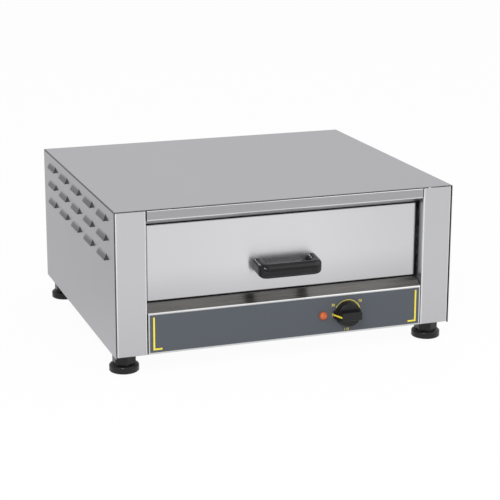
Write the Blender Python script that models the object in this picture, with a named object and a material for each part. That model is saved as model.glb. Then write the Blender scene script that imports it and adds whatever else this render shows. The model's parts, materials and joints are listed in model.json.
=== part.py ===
"""Countertop bun warmer: a folded stainless cabinet on four levelling feet, with one heated
drawer on roller runners, a thermostat dial and an indicator lamp.

Metres, +Z up, +X to the right and +Y towards the back, seen from the front. The origin is on
the surface that the feet stand on, below the middle of the whole object's box. The cabinet is
built in its own frame: y = 0 is the front plane of the posts and z = 0 is the bottom edge of
the outer cover.
"""
from math import atan2, cos, pi, radians, sin, tan

import bmesh
import bpy
from mathutils import Matrix, Vector

# Overall size of the outer cover, and the clearance under it
WIDTH = 0.545
DEPTH = 0.472
HEIGHT = 0.2245
CLEARANCE = 0.0307

# Sheet metal and fits used everywhere
SHEET = 0.001
GAP = 0.0003
RUN_GAP = 0.0006
HIDDEN_BEND = 0.0005
FRAME_BEND = 0.0004
OVERRUN = 0.002
WELD = 0.00001
ROOT_SHARE = 0.5
CORNER_ROOT_SHARE = 0.25
ROUND_PROFILE_SHARE = 0.5
FRAME_BEND_STEPS = 4
HIDDEN_BEND_STEPS = 2
ROUND_SIDES = 20
SMALL_SIDES = 12
SMOOTH_ANGLE = radians(35)

# Outer cover: one sheet wrapped over the top and both sides, with a frame turned in at the rear
COVER_BEND = 0.0005
REAR_FLANGE = 0.014
LOUVRE_ROW_COUNT = 3
LOUVRE_COLUMN_COUNT = 5
LOUVRE_LENGTH = 0.040
LOUVRE_DROP = 0.0100
LOUVRE_LIFT = 0.0048
LOUVRE_KERF = 0.0004
LOUVRE_FIRST = 0.0465
LOUVRE_PITCH = 0.084
LOUVRE_TOP = 0.013
LOUVRE_ROW_PITCH = 0.030

# Base pan under everything
PAN_LIFT = 0.0007
PAN_FRONT = 0.003
PAN_FLANGE = 0.018
PAN_SLOT_ROW_COUNT = 2
PAN_SLOT_COUNT = 6
PAN_SLOT_LENGTH = 0.045
PAN_SLOT_WIDTH = 0.004
PAN_SLOT_PITCH = 0.018
PAN_SLOT_ROW_PITCH = 0.060

# Front frame: two posts, a bevelled top rail and the control panel with its sloping sill
POST_FACE = 0.0477
POST_RETURN_IN = 0.014
POST_RETURN_OUT = 0.022
FRAME_GAP = 0.0013
RECESS = 0.0176
RAIL_FACE = 0.0155
RAIL_BEVEL_DROP = 0.0097
RAIL_TOP_LIP = 0.012
RAIL_REAR_LIP = 0.008
PANEL_FACE = 0.063
SILL_RISE = 0.0124
PANEL_BOTTOM_LIP = 0.014
PANEL_REAR_LIP = 0.010
OVERLAY_BORDER = 0.0025
OVERLAY_SHEET = 0.0005

# Inner box around the drawer
INNER_STEP = 0.0025
REAR_SPACE = 0.0325
INNER_FOOT = 0.014
CAVITY_FLANGE = 0.010
FLOOR_DROP = 0.0019
CEILING_RISE = 0.0115
REAR_WALL_DROP = 0.0135
FLOOR_SLOT_ROW_COUNT = 5
FLOOR_SLOT_COUNT = 6
FLOOR_SLOT_LENGTH = 0.040
FLOOR_SLOT_WIDTH = 0.005
FLOOR_SLOT_PITCH = 0.062
FLOOR_SLOT_ROW_PITCH = 0.066

# Rear panel with its vent slots
REAR_LIP = 0.010
REAR_SCREW_DROP = 0.040
REAR_SLOT_COUNT = 7
REAR_SLOT_LENGTH = 0.055
REAR_SLOT_WIDTH = 0.004
REAR_SLOT_PITCH = 0.011
REAR_SLOT_COLUMN_COUNT = 2
REAR_SLOT_COLUMN_PITCH = 0.150
REAR_SLOT_HEIGHT = 0.145

# Drawer front, a hollow folded panel
FRONT_SET_BACK = 0.0006
FRONT_SIDE_GAP = 0.0026
FRONT_TOP_GAP = 0.0014
FRONT_BOTTOM_GAP = 0.0019
FRONT_THICK = 0.018
FRONT_EDGE_RADIUS = 0.005
FRONT_RIM_RADIUS = 0.0015
FRONT_EDGE_STEPS = 5
FRONT_RIM_STEPS = 2

# Drawer tray
TRAY_REAR_GAP = 0.0112
TRAY_FLOOR_GAP = 0.0075
TRAY_HEIGHT = 0.095
TRAY_CORNER = 0.004
TRAY_CORNER_STEPS = 2

# Roller runners: a channel on each side of the cabinet and an angle on each side of the tray
RAIL_SHEET = 0.0012
CHANNEL_DEPTH = 0.011
CHANNEL_FRONT_GAP = 0.0025
CHANNEL_REAR_GAP = 0.004
RUNNER_HEIGHT = 0.052
ROLLER_RADIUS = 0.0105
ROLLER_WIDTH = 0.007
ROLLER_INSET = 0.014
ROLLER_CHAMFER = 0.0008
PIN_RADIUS = 0.002
PIN_HEAD_RADIUS = 0.0032
PIN_HEAD = 0.0008
DRAWER_RAIL_WEB = 0.020

# Bridge handle
HANDLE_WIDTH = 0.1025
HANDLE_REACH = 0.035
HANDLE_HEIGHT = 0.0220
HANDLE_BAR = 0.014
HANDLE_ARM = 0.0145
HANDLE_CORNER = 0.015
HANDLE_INNER_CORNER = 0.006
HANDLE_ROUND = 0.0055
HANDLE_DROP = 0.0045
HANDLE_RISE = 0.0405
HANDLE_CORNER_STEPS = 6
HANDLE_ROUND_STEPS = 4

# Screws
SCREW_RADIUS = 0.002
SCREW_HEAD_RADIUS = 0.0038
SCREW_HEAD = 0.0022
SCREW_TAIL = 0.004

# Dial: where the knob and the lamp sit on the control panel
DIAL_HEIGHT = 0.0316
KNOB_X = 0.0977
LAMP_X = 0.0569

# Knob, a hollow moulding with a grip across it and a nose that points
KNOB_RADIUS = 0.0203
KNOB_PROUD = 0.022
KNOB_SKIRT = 0.0125
KNOB_TAPER = 0.0011
KNOB_EDGE = 0.0012
KNOB_WALL = 0.002
KNOB_HOLLOW = 0.008
KNOB_HUB = 0.006
KNOB_BORE_DEPTH = 0.013
KNOB_SIDES = 36
GRIP_WIDTH = 0.0128
GRIP_HEEL = 0.0165
GRIP_TOE = 0.0162
GRIP_NOSE = 0.0234
GRIP_SINK = 0.001
GRIP_EDGE = 0.0006
POINTER_WIDTH = 0.0026
POINTER_THICK = 0.0004

# Thermostat behind the panel
SHAFT_RADIUS = 0.003
SHAFT_DEPTH = 0.012
BUSH_RADIUS = 0.005
THERMOSTAT_WIDTH = 0.044
THERMOSTAT_HEIGHT = 0.034
THERMOSTAT_DEPTH = 0.028
THERMOSTAT_SCREW_OFFSET = 0.013
CAPILLARY_RADIUS = 0.001
BULB_RADIUS = 0.003
BULB_LENGTH = 0.080
BULB_X = 0.056
BULB_RISE = 0.045
CLIP_WIDTH = 0.020
CLIP_WALL = 0.0008
CLIP_FOOT = 0.009

# Indicator lamp
LAMP_RADIUS = 0.0068
LAMP_LENS_RADIUS = 0.0055
LAMP_PROUD = 0.0030
LAMP_LENS_PROUD = 0.0036
LAMP_BARREL = 0.0048
LAMP_DEPTH = 0.030
LENS_SIDES = 8
LENS_CROWN_SHARE = 0.45

# Heating element in the space under the cavity floor
ELEMENT_RADIUS = 0.004
ELEMENT_HEIGHT = 0.042
ELEMENT_RUN_COUNT = 4
ELEMENT_FIRST = 0.130
ELEMENT_REAR_SPACE = 0.132
ELEMENT_SIDE_SPACE = 0.0757
ELEMENT_END_SPACE = 0.0357
ELEMENT_TURN_STEPS = 8
SUPPORT_INSET = 0.045
SUPPORT_FOOT = 0.012
SUPPORT_RISE = 0.008
TERMINAL_RADIUS = 0.0055
TERMINAL_LENGTH = 0.009
TERMINAL_PIN_RADIUS = 0.0018
TERMINAL_PIN_LENGTH = 0.005

# Electrical pieces at the rear
BLOCK_INSET = 0.1525
BLOCK_WIDTH = 0.040
BLOCK_DEPTH = 0.015
BLOCK_HEIGHT = 0.016
BLOCK_WAY_COUNT = 3
BLOCK_WELL_RADIUS = 0.0027
BLOCK_WELL_DEPTH = 0.006
EARTH_INSET = 0.1075
EARTH_RADIUS = 0.002
EARTH_HEIGHT = 0.014
EARTH_HEAD = 0.0011
GLAND_INSET = 0.0975
GLAND_HEIGHT = 0.045
GLAND_THREAD = 0.0078
GLAND_HEX = 0.012
GLAND_COLLAR = 0.005
GLAND_DOME = 0.011
GLAND_DOME_RADIUS = 0.010
GLAND_DOME_EDGE = 0.0025
GLAND_BORE = 0.0042
GLAND_INSIDE = 0.012
GLAND_NUT = 0.004
LEAD_RADIUS = 0.0012
LEAD_RISE = 0.006
LEAD_CLEAR = 0.004
LEAD_STEPS = 3

# Levelling feet: a moulded pad with a hexagon neck on a threaded stud
FOOT_INSET_X = 0.0215
FOOT_INSET_FRONT = 0.036
FOOT_INSET_REAR = 0.040
FOOT_RADIUS = 0.0227
FOOT_RIM = 0.0085
FOOT_CHAMFER = 0.0012
FOOT_NECK_FLATS = 0.032
FOOT_NECK = 0.0190
FOOT_SIDES = 24
FOOT_SHOULDER_STEPS = 4
STUD_RADIUS = 0.004
STUD_RISE = 0.020
STUD_SINK = 0.018
NUT_FLATS = 0.013
NUT_HEIGHT = 0.0065

# Colours as they look in even light: red, green, blue, then roughness and metallic value
STEEL = (0.62, 0.62, 0.64, 0.34, 1.0)
GALVANISED = (0.52, 0.54, 0.56, 0.45, 1.0)
ZINC = (0.60, 0.60, 0.58, 0.35, 1.0)
OVERLAY_GREY = (0.105, 0.125, 0.145, 0.50, 0.0)
BLACK_GLOSS = (0.012, 0.011, 0.012, 0.14, 0.0)
BLACK_SATIN = (0.020, 0.019, 0.020, 0.42, 0.0)
POINTER_YELLOW = (0.88, 0.68, 0.04, 0.45, 0.0)
LAMP_AMBER = (0.80, 0.16, 0.02, 0.12, 0.0)
LAMP_RIM = (0.78, 0.62, 0.55, 0.30, 0.0)
CERAMIC = (0.82, 0.80, 0.74, 0.55, 0.0)
NYLON = (0.80, 0.79, 0.74, 0.50, 0.0)
BRASS = (0.72, 0.56, 0.26, 0.32, 1.0)
SHEATH = (0.20, 0.17, 0.15, 0.55, 1.0)
COPPER = (0.72, 0.38, 0.24, 0.35, 1.0)
LEAD_SLEEVE = (0.70, 0.12, 0.08, 0.60, 0.0)

# Places that follow from the sizes above
HALF_WIDTH = WIDTH / 2
COVER_INSIDE = HALF_WIDTH - SHEET
FRAME_OUTSIDE = COVER_INSIDE - GAP
FRAME_TOP = HEIGHT - SHEET - GAP
PAN_SIDE = FRAME_OUTSIDE - SHEET - GAP
PAN_TOP = PAN_LIFT + SHEET
STAND = PAN_TOP + GAP
HALF_OPENING = FRAME_OUTSIDE - POST_FACE
FRAME_HALF = HALF_OPENING - FRAME_GAP
SILL_TOP = STAND + PANEL_FACE + SILL_RISE
RAIL_BOTTOM = FRAME_TOP - RAIL_FACE - RAIL_BEVEL_DROP
RECESS_REAR = RECESS + SHEET
REAR_INSIDE = DEPTH - SHEET - GAP - SHEET
INNER_HALF = HALF_OPENING + INNER_STEP
INNER_REAR = DEPTH - REAR_SPACE
CAVITY_HALF = INNER_HALF - GAP
FLOOR_TOP = SILL_TOP - FLOOR_DROP
CEILING = RAIL_BOTTOM + CEILING_RISE
FRONT_FACE = RECESS - FRONT_SET_BACK
FRONT_HALF = HALF_OPENING - FRONT_SIDE_GAP
FRONT_BOTTOM = SILL_TOP + FRONT_BOTTOM_GAP
FRONT_TOP = RAIL_BOTTOM - FRONT_TOP_GAP
FRONT_REAR = FRONT_FACE + FRONT_THICK
CHANNEL_MOUTH = CAVITY_HALF - CHANNEL_DEPTH
DRAWER_RAIL_FACE = CHANNEL_MOUTH - RUN_GAP
TRAY_HALF = DRAWER_RAIL_FACE - RAIL_SHEET - GAP
TRAY_FRONT = FRONT_REAR + GAP
TRAY_REAR = INNER_REAR - TRAY_REAR_GAP
TRAY_BOTTOM = FLOOR_TOP + TRAY_FLOOR_GAP
RUNNER_AXIS = TRAY_BOTTOM + RUNNER_HEIGHT
CHANNEL_FRONT = FRONT_REAR + CHANNEL_FRONT_GAP
CHANNEL_REAR = INNER_REAR - CHANNEL_REAR_GAP
CHANNEL_LOW = RUNNER_AXIS - ROLLER_RADIUS - GAP
CHANNEL_HIGH = RUNNER_AXIS + ROLLER_RADIUS + GAP + RAIL_SHEET + GAP
ROLLER_X = (DRAWER_RAIL_FACE + CAVITY_HALF - RAIL_SHEET) / 2
FRONT_ROLLER_Y = CHANNEL_FRONT + ROLLER_INSET
REAR_ROLLER_Y = TRAY_REAR - ROLLER_INSET
DIAL_Z = STAND + DIAL_HEIGHT
OVERLAY_FRONT = OVERLAY_SHEET + GAP
KNOB_BACK = OVERLAY_FRONT + RUN_GAP
THERMOSTAT_FRONT = SHEET + GAP
THERMOSTAT_REAR = THERMOSTAT_FRONT + THERMOSTAT_DEPTH
HANDLE_BASE = FRONT_FACE - GAP
HANDLE_Z = FRONT_BOTTOM + HANDLE_RISE
HANDLE_ARM_X = (HANDLE_WIDTH - HANDLE_ARM) / 2
ELEMENT_LAST = DEPTH - ELEMENT_REAR_SPACE
ELEMENT_PITCH = (ELEMENT_LAST - ELEMENT_FIRST) / (ELEMENT_RUN_COUNT - 1)
ELEMENT_SPAN = CAVITY_HALF - ELEMENT_SIDE_SPACE
ELEMENT_LEAD_IN = CAVITY_HALF - ELEMENT_END_SPACE
SUPPORT_X = ELEMENT_SPAN - SUPPORT_INSET
GLAND_X = HALF_WIDTH - GLAND_INSET
BLOCK_X = HALF_WIDTH - BLOCK_INSET
EARTH_X = HALF_WIDTH - EARTH_INSET
BLOCK_REAR = REAR_INSIDE + SHEET - REAR_LIP - GAP
BLOCK_FRONT = BLOCK_REAR - BLOCK_DEPTH
BLOCK_MIDDLE = BLOCK_REAR - BLOCK_DEPTH / 2
FOOT_TOP = PAN_LIFT - GAP
REAR_OUT = GLAND_COLLAR + GLAND_DOME
FRONT_OUT = max(KNOB_PROUD, HANDLE_REACH - FRONT_FACE)
FRONT_PLANE = (FRONT_OUT - DEPTH - REAR_OUT) / 2


# Materials and objects

def material(name, look):
    """One Principled material with the colour, roughness and metallic value given."""
    red, green, blue, roughness, metallic = look
    made = bpy.data.materials.new(name)
    made.use_nodes = True
    shader = made.node_tree.nodes["Principled BSDF"]
    shader.inputs["Base Color"].default_value = (red, green, blue, 1.0)
    shader.inputs["Roughness"].default_value = roughness
    shader.inputs["Metallic"].default_value = metallic
    made.diffuse_color = (red, green, blue, 1.0)
    return made


def empty(name, location, parent=None):
    """A plain axes empty that carries other objects."""
    made = bpy.data.objects.new(name, None)
    bpy.context.collection.objects.link(made)
    made.location = location
    made.parent = parent
    return made


def put(name, shape, look, parent, location=(0, 0, 0)):
    """Turn a bmesh into a named object with its own material, shaded smooth by angle."""
    bmesh.ops.recalc_face_normals(shape, faces=shape.faces)
    mesh = bpy.data.meshes.new(name)
    shape.to_mesh(mesh)
    shape.free()
    mesh.shade_smooth()
    mesh.set_sharp_from_angle(angle=SMOOTH_ANGLE)
    made = bpy.data.objects.new(name, mesh)
    bpy.context.collection.objects.link(made)
    made.parent = parent
    made.location = location
    if look:
        mesh.materials.append(material(name, look))
    return made


def combine(target, shape, operation):
    """Cut a bmesh out of target or join it, with an exact Boolean and a hidden wire helper."""
    name = f"{target.name}_{operation.lower()}_{len(target.modifiers)}"
    helper = put(name, shape, None, target.parent, target.location)
    helper.hide_render = True
    helper.display_type = "WIRE"
    change = target.modifiers.new(name, "BOOLEAN")
    change.operation = operation
    change.object = helper
    change.solver = "EXACT"


def cut(target, shape):
    """Cut a bmesh out of target."""
    combine(target, shape, "DIFFERENCE")


def join(target, shape):
    """Join a bmesh to target."""
    combine(target, shape, "UNION")


# Shapes

def merge(shape, other):
    """Add a bmesh to another as a separate body, and free it."""
    mesh = bpy.data.meshes.new("merged")
    other.to_mesh(mesh)
    other.free()
    shape.from_mesh(mesh)
    bpy.data.meshes.remove(mesh)


def add_box(shape, low, high):
    """A closed box between two corners, given in either order."""
    size = [abs(b - a) for a, b in zip(low, high)]
    middle = [(a + b) / 2 for a, b in zip(low, high)]
    place = Matrix.Translation(middle) @ Matrix.Diagonal((*size, 1))
    bmesh.ops.create_cube(shape, size=1, matrix=place)


def along(axis, start, across=(0, 0)):
    """The place of a turned shape whose own +Z runs along +axis from start."""
    if axis == "X":
        return Matrix.Translation((start, *across)) @ Matrix.Rotation(pi / 2, 4, "Y")
    if axis == "Y":
        return Matrix.Translation((across[0], start, across[1])) @ Matrix.Rotation(-pi / 2, 4, "X")
    return Matrix.Translation((*across, start))


def add_rod(shape, axis, start, end, across, radius, sides=SMALL_SIDES):
    """A closed cylinder along one axis, between start and end."""
    place = along(axis, (start + end) / 2, across)
    bmesh.ops.create_cone(shape, cap_ends=True, segments=sides, radius1=radius, radius2=radius,
                          depth=abs(end - start), matrix=place)


def add_turned(shape, axis, start, across, profile, sides):
    """Turn a profile of (radius, height) points, which is closed or begins and ends on the axis."""
    turned = bmesh.new()
    points = [turned.verts.new((radius, 0, height)) for radius, height in profile]
    pairs = list(zip(points, points[1:]))
    if profile[0][0] > 0:
        pairs.append((points[-1], points[0]))
    edges = [turned.edges.new(pair) for pair in pairs]
    bmesh.ops.spin(turned, geom=points + edges, cent=(0, 0, 0), axis=(0, 0, 1), angle=2 * pi,
                   steps=sides, use_merge=True, use_duplicate=False)
    bmesh.ops.remove_doubles(turned, verts=turned.verts, dist=WELD)
    bmesh.ops.recalc_face_normals(turned, faces=turned.faces)
    bmesh.ops.transform(turned, matrix=along(axis, start, across), verts=turned.verts)
    merge(shape, turned)


def add_extruded(shape, outline, axis, start, end):
    """Extrude a closed outline along an axis. Its points are the other two coordinates in order."""
    def place(point, at):
        first, second = point
        return {"X": (at, first, second), "Y": (first, at, second), "Z": (first, second, at)}[axis]

    made = bmesh.new()
    face = made.faces.new([made.verts.new(place(point, start)) for point in outline])
    moved = bmesh.ops.extrude_face_region(made, geom=[face])["geom"]
    step = Vector(place((0, 0), end - start))
    bmesh.ops.translate(made, verts=[v for v in moved if isinstance(v, bmesh.types.BMVert)], vec=step)
    bmesh.ops.recalc_face_normals(made, faces=made.faces)
    merge(shape, made)


def folded(path, sheet, bend, steps, side=1):
    """The closed outline of a folded sheet. path is one face of it, with sharp corners.

    The sheet lies to the left of the path for side = 1 and to the right for side = -1. bend is
    the inner radius of every fold.
    """
    near, far = [], []
    last = len(path) - 1
    for index, (x, y) in enumerate(path):
        before = path[max(index - 1, 0)]
        after = path[min(index + 1, last)]
        heading_in = atan2(y - before[1], x - before[0])
        heading_out = atan2(after[1] - y, after[0] - x)
        if index == 0:
            heading_in = heading_out
        if index == last:
            heading_out = heading_in
        turn = (heading_out - heading_in + pi) % (2 * pi) - pi
        radius = bend + (sheet if turn * side > 0 else 0)
        setback = radius * tan(abs(turn) / 2)
        way = 1 if turn > 0 else -1
        start = (x - setback * cos(heading_in), y - setback * sin(heading_in))
        centre = (start[0] - way * radius * sin(heading_in), start[1] + way * radius * cos(heading_in))
        count = steps if abs(turn) > 0 else 0
        for step in range(count + 1):
            heading = heading_in + turn * step / max(count, 1)
            point = (centre[0] + way * radius * sin(heading), centre[1] - way * radius * cos(heading))
            if not count:
                point = (x, y)
            near.append(point)
            far.append((point[0] - side * sheet * sin(heading), point[1] + side * sheet * cos(heading)))
    return near + far[::-1]


def mirrored(outline):
    """The same outline on the other side of x = 0."""
    return [(-x, y) for x, y in reversed(outline)]


def both_sides(outline):
    """Side, name ending and outline of a right-hand section and of its mirror image."""
    return (1, "right", outline), (-1, "left", mirrored(outline))


def hexagon(flats, turn=0):
    """The outline of a hexagon with the given distance across its flats."""
    radius = flats / 2 / cos(pi / 6)
    return [(radius * cos(turn + k * pi / 3), radius * sin(turn + k * pi / 3)) for k in range(6)]


def arc(centre, radius, start, end, steps):
    """Points of an arc, in steps."""
    turn = (end - start) / steps
    return [(centre[0] + radius * cos(start + k * turn), centre[1] + radius * sin(start + k * turn))
            for k in range(steps + 1)]


def spread(count, pitch):
    """Places of count things at one pitch, centred on zero."""
    return [(k - (count - 1) / 2) * pitch for k in range(count)]


def screw(name, seat, way, across, grip, parent):
    """A pan-head screw along Y: its head stands on seat, and its shank goes way through grip."""
    head = SCREW_HEAD
    length = head + GAP + grip + SCREW_TAIL
    profile = [(0, 0), (SCREW_HEAD_RADIUS, 0), (SCREW_HEAD_RADIUS, head), (SCREW_RADIUS, head),
               (SCREW_RADIUS, length), (0, length)]
    if way < 0:
        profile = [(radius, -height) for radius, height in profile]
    shape = bmesh.new()
    add_turned(shape, "Y", seat - way * (GAP + head), across, profile, SMALL_SIDES)
    put(name, shape, ZINC, parent)


def screw_hole(shape, start, end, across):
    """The clearance hole of a screw along Y, cut past both faces."""
    add_rod(shape, "Y", start - OVERRUN, end + OVERRUN, across, SCREW_RADIUS + GAP)


# Outer shell

def louvre_places():
    """Front end and hinge height of each louvre on one side."""
    for row in range(LOUVRE_ROW_COUNT):
        for column in range(LOUVRE_COLUMN_COUNT):
            yield LOUVRE_FIRST + column * LOUVRE_PITCH, HEIGHT - LOUVRE_TOP - row * LOUVRE_ROW_PITCH


def louvres():
    """Holes of the louvres, and the flaps bent out of them, hinged along their upper edges."""
    holes, flaps = bmesh.new(), bmesh.new()
    slant = Vector((LOUVRE_LIFT, -LOUVRE_DROP))
    outer_root = HALF_WIDTH - SHEET * (1 - ROOT_SHARE) / 2
    inner_root = outer_root - SHEET * ROOT_SHARE
    for front, hinge in louvre_places():
        back = front + LOUVRE_LENGTH
        flap = [(outer_root, hinge + SHEET), (HALF_WIDTH, hinge), (HALF_WIDTH + slant.x, hinge + slant.y),
                (COVER_INSIDE + slant.x, hinge + slant.y - SHEET / 2), (inner_root, hinge - SHEET / 2),
                (inner_root, hinge + SHEET)]
        for side, _, outline in both_sides(flap):
            add_extruded(flaps, outline, "Y", front + LOUVRE_KERF, back - LOUVRE_KERF)
            add_box(holes, (side * (COVER_INSIDE - OVERRUN), front, hinge - slant.length),
                    (side * (HALF_WIDTH + OVERRUN), back, hinge))
    return holes, flaps


def outer_cover(parent):
    """The wrap with its louvres, and the frame turned in at its rear."""
    path = [(-HALF_WIDTH, 0), (-HALF_WIDTH, HEIGHT), (HALF_WIDTH, HEIGHT), (HALF_WIDTH, 0)]
    shape = bmesh.new()
    add_extruded(shape, folded(path, SHEET, COVER_BEND, FRAME_BEND_STEPS, side=-1), "Y", 0, DEPTH)
    cover = put("outer_cover", shape, STEEL, parent)
    holes, flaps = louvres()
    cut(cover, holes)
    join(cover, flaps)

    root = SHEET * CORNER_ROOT_SHARE
    side, top = COVER_INSIDE + root, HEIGHT - SHEET + root
    inner, lower = COVER_INSIDE - REAR_FLANGE, HEIGHT - SHEET - REAR_FLANGE
    outline = [(-side, PAN_TOP), (-side, top), (side, top), (side, PAN_TOP), (inner, PAN_TOP),
               (inner, lower), (-inner, lower), (-inner, PAN_TOP)]
    frame = bmesh.new()
    add_extruded(frame, outline, "Y", DEPTH - SHEET, DEPTH)
    join(cover, frame)
    holes = bmesh.new()
    for across in rear_screws().values():
        screw_hole(holes, DEPTH - SHEET, DEPTH, across)
    cut(cover, holes)


def rear_screws():
    """Where screws hold the cover's rear frame to the rear panel, by name."""
    x = COVER_INSIDE - REAR_FLANGE / 2
    low, high = REAR_SCREW_DROP, HEIGHT - REAR_SCREW_DROP
    return {"lower_left": (-x, low), "lower_right": (x, low),
            "upper_left": (-x, high), "upper_right": (x, high)}


def rear_panel(parent):
    """Flat panel inside the cover's rear frame, with a lip forward at its top and bottom."""
    rear = REAR_INSIDE + SHEET
    half = PAN_SIDE - SHEET - GAP
    path = [(rear - REAR_LIP, STAND), (rear, STAND), (rear, FRAME_TOP), (rear - REAR_LIP, FRAME_TOP)]
    shape = bmesh.new()
    add_extruded(shape, folded(path, SHEET, HIDDEN_BEND, HIDDEN_BEND_STEPS), "X", -half, half)
    panel = put("rear_panel", shape, STEEL, parent)
    holes = bmesh.new()
    for across in rear_screws().values():
        screw_hole(holes, REAR_INSIDE, rear, across)
    for x in spread(REAR_SLOT_COLUMN_COUNT, REAR_SLOT_COLUMN_PITCH):
        for rise in spread(REAR_SLOT_COUNT, REAR_SLOT_PITCH):
            z = REAR_SLOT_HEIGHT + rise
            add_box(holes, (x - REAR_SLOT_LENGTH / 2, REAR_INSIDE - OVERRUN, z - REAR_SLOT_WIDTH / 2),
                    (x + REAR_SLOT_LENGTH / 2, rear + OVERRUN, z + REAR_SLOT_WIDTH / 2))
    add_rod(holes, "Y", REAR_INSIDE - OVERRUN, rear + OVERRUN, (GLAND_X, GLAND_HEIGHT),
            GLAND_THREAD + GAP, ROUND_SIDES)
    cut(panel, holes)
    for name, across in rear_screws().items():
        screw("rear_screw_" + name, DEPTH, -1, across, SHEET + GAP + SHEET, parent)


def foot_places():
    """Centres of the four feet, by name."""
    x = HALF_WIDTH - FOOT_INSET_X
    rear = DEPTH - FOOT_INSET_REAR
    return {"front_left": (-x, FOOT_INSET_FRONT), "front_right": (x, FOOT_INSET_FRONT),
            "rear_left": (-x, rear), "rear_right": (x, rear)}


def base_pan(parent):
    """The pan that carries everything, with vent slots and a weld nut for each foot."""
    side, rim = PAN_SIDE, PAN_LIFT + PAN_FLANGE
    path = [(-side, rim), (-side, PAN_LIFT), (side, PAN_LIFT), (side, rim)]
    shape = bmesh.new()
    add_extruded(shape, folded(path, SHEET, HIDDEN_BEND, HIDDEN_BEND_STEPS), "Y", PAN_FRONT, REAR_INSIDE)
    pan = put("base_pan", shape, GALVANISED, parent)
    nuts, holes = bmesh.new(), bmesh.new()
    nut_top = PAN_TOP + NUT_HEIGHT
    for x, y in foot_places().values():
        outline = [(x + a, y + b) for a, b in hexagon(NUT_FLATS)]
        add_extruded(nuts, outline, "Z", PAN_TOP - SHEET * ROOT_SHARE, nut_top)
        add_rod(holes, "Z", PAN_LIFT - OVERRUN, nut_top + OVERRUN, (x, y), STUD_RADIUS + GAP, ROUND_SIDES)
    for x in spread(PAN_SLOT_ROW_COUNT, PAN_SLOT_ROW_PITCH):
        for step in spread(PAN_SLOT_COUNT, PAN_SLOT_PITCH):
            y = DEPTH / 2 + step
            add_box(holes, (x - PAN_SLOT_LENGTH / 2, y - PAN_SLOT_WIDTH / 2, PAN_LIFT - OVERRUN),
                    (x + PAN_SLOT_LENGTH / 2, y + PAN_SLOT_WIDTH / 2, PAN_TOP + OVERRUN))
    add_rod(holes, "Z", PAN_LIFT - OVERRUN, PAN_TOP + OVERRUN, (EARTH_X, BLOCK_MIDDLE), EARTH_RADIUS + GAP)
    join(pan, nuts)
    cut(pan, holes)


# Front frame

def posts(parent):
    """Two channels folded from sheet, one each side of the opening."""
    path = [(HALF_OPENING, POST_RETURN_IN), (HALF_OPENING, 0), (FRAME_OUTSIDE, 0),
            (FRAME_OUTSIDE, POST_RETURN_OUT)]
    for _, hand, outline in both_sides(folded(path, SHEET, FRAME_BEND, FRAME_BEND_STEPS)):
        shape = bmesh.new()
        add_extruded(shape, outline, "Z", STAND, FRAME_TOP)
        put(hand + "_post", shape, STEEL, parent)


def top_rail(parent):
    """Rail above the drawer, bevelled inwards along its lower edge."""
    path = [(RAIL_TOP_LIP, FRAME_TOP), (0, FRAME_TOP), (0, FRAME_TOP - RAIL_FACE), (RECESS_REAR, RAIL_BOTTOM),
            (RECESS_REAR, RAIL_BOTTOM + RAIL_REAR_LIP)]
    shape = bmesh.new()
    add_extruded(shape, folded(path, SHEET, FRAME_BEND, FRAME_BEND_STEPS), "X", -FRAME_HALF, FRAME_HALF)
    put("top_rail", shape, STEEL, parent)


def panel_holes(start, end):
    """Holes for the thermostat's bush and screws and for the lamp's barrel."""
    holes = bmesh.new()
    low, high = start - OVERRUN, end + OVERRUN
    add_rod(holes, "Y", low, high, (KNOB_X, DIAL_Z), BUSH_RADIUS + GAP, ROUND_SIDES)
    add_rod(holes, "Y", low, high, (LAMP_X, DIAL_Z), LAMP_BARREL + GAP, ROUND_SIDES)
    for offset in (-THERMOSTAT_SCREW_OFFSET, THERMOSTAT_SCREW_OFFSET):
        screw_hole(holes, start, end, (KNOB_X + offset, DIAL_Z))
    return holes


def control_panel(parent):
    """Panel below the drawer, with the sloping sill above it and a lip under it."""
    path = [(PANEL_BOTTOM_LIP, STAND), (0, STAND), (0, STAND + PANEL_FACE), (RECESS_REAR, SILL_TOP),
            (RECESS_REAR, SILL_TOP - PANEL_REAR_LIP)]
    outline = folded(path, SHEET, FRAME_BEND, FRAME_BEND_STEPS, side=-1)
    shape = bmesh.new()
    add_extruded(shape, outline, "X", -FRAME_HALF, FRAME_HALF)
    cut(put("control_panel", shape, STEEL, parent), panel_holes(0, SHEET))


def panel_overlay(parent):
    """Thin printed plate on the front of the control panel."""
    half = FRAME_HALF - OVERLAY_BORDER
    shape = bmesh.new()
    add_box(shape, (-half, -OVERLAY_FRONT, STAND + OVERLAY_BORDER),
            (half, -GAP, STAND + PANEL_FACE - OVERLAY_BORDER))
    cut(put("panel_overlay", shape, OVERLAY_GREY, parent), panel_holes(-OVERLAY_FRONT, -GAP))


# Inner box

def cavity_shell(parent):
    """One sheet folded up one side, over the drawer and down the other, with feet turned outwards."""
    foot = INNER_HALF + INNER_FOOT
    path = [(-foot, STAND), (-INNER_HALF, STAND), (-INNER_HALF, CEILING), (INNER_HALF, CEILING),
            (INNER_HALF, STAND), (foot, STAND)]
    shape = bmesh.new()
    outline = folded(path, SHEET, HIDDEN_BEND, HIDDEN_BEND_STEPS)
    add_extruded(shape, outline, "Y", RECESS_REAR + GAP, INNER_REAR)
    put("cavity_shell", shape, GALVANISED, parent)


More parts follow.
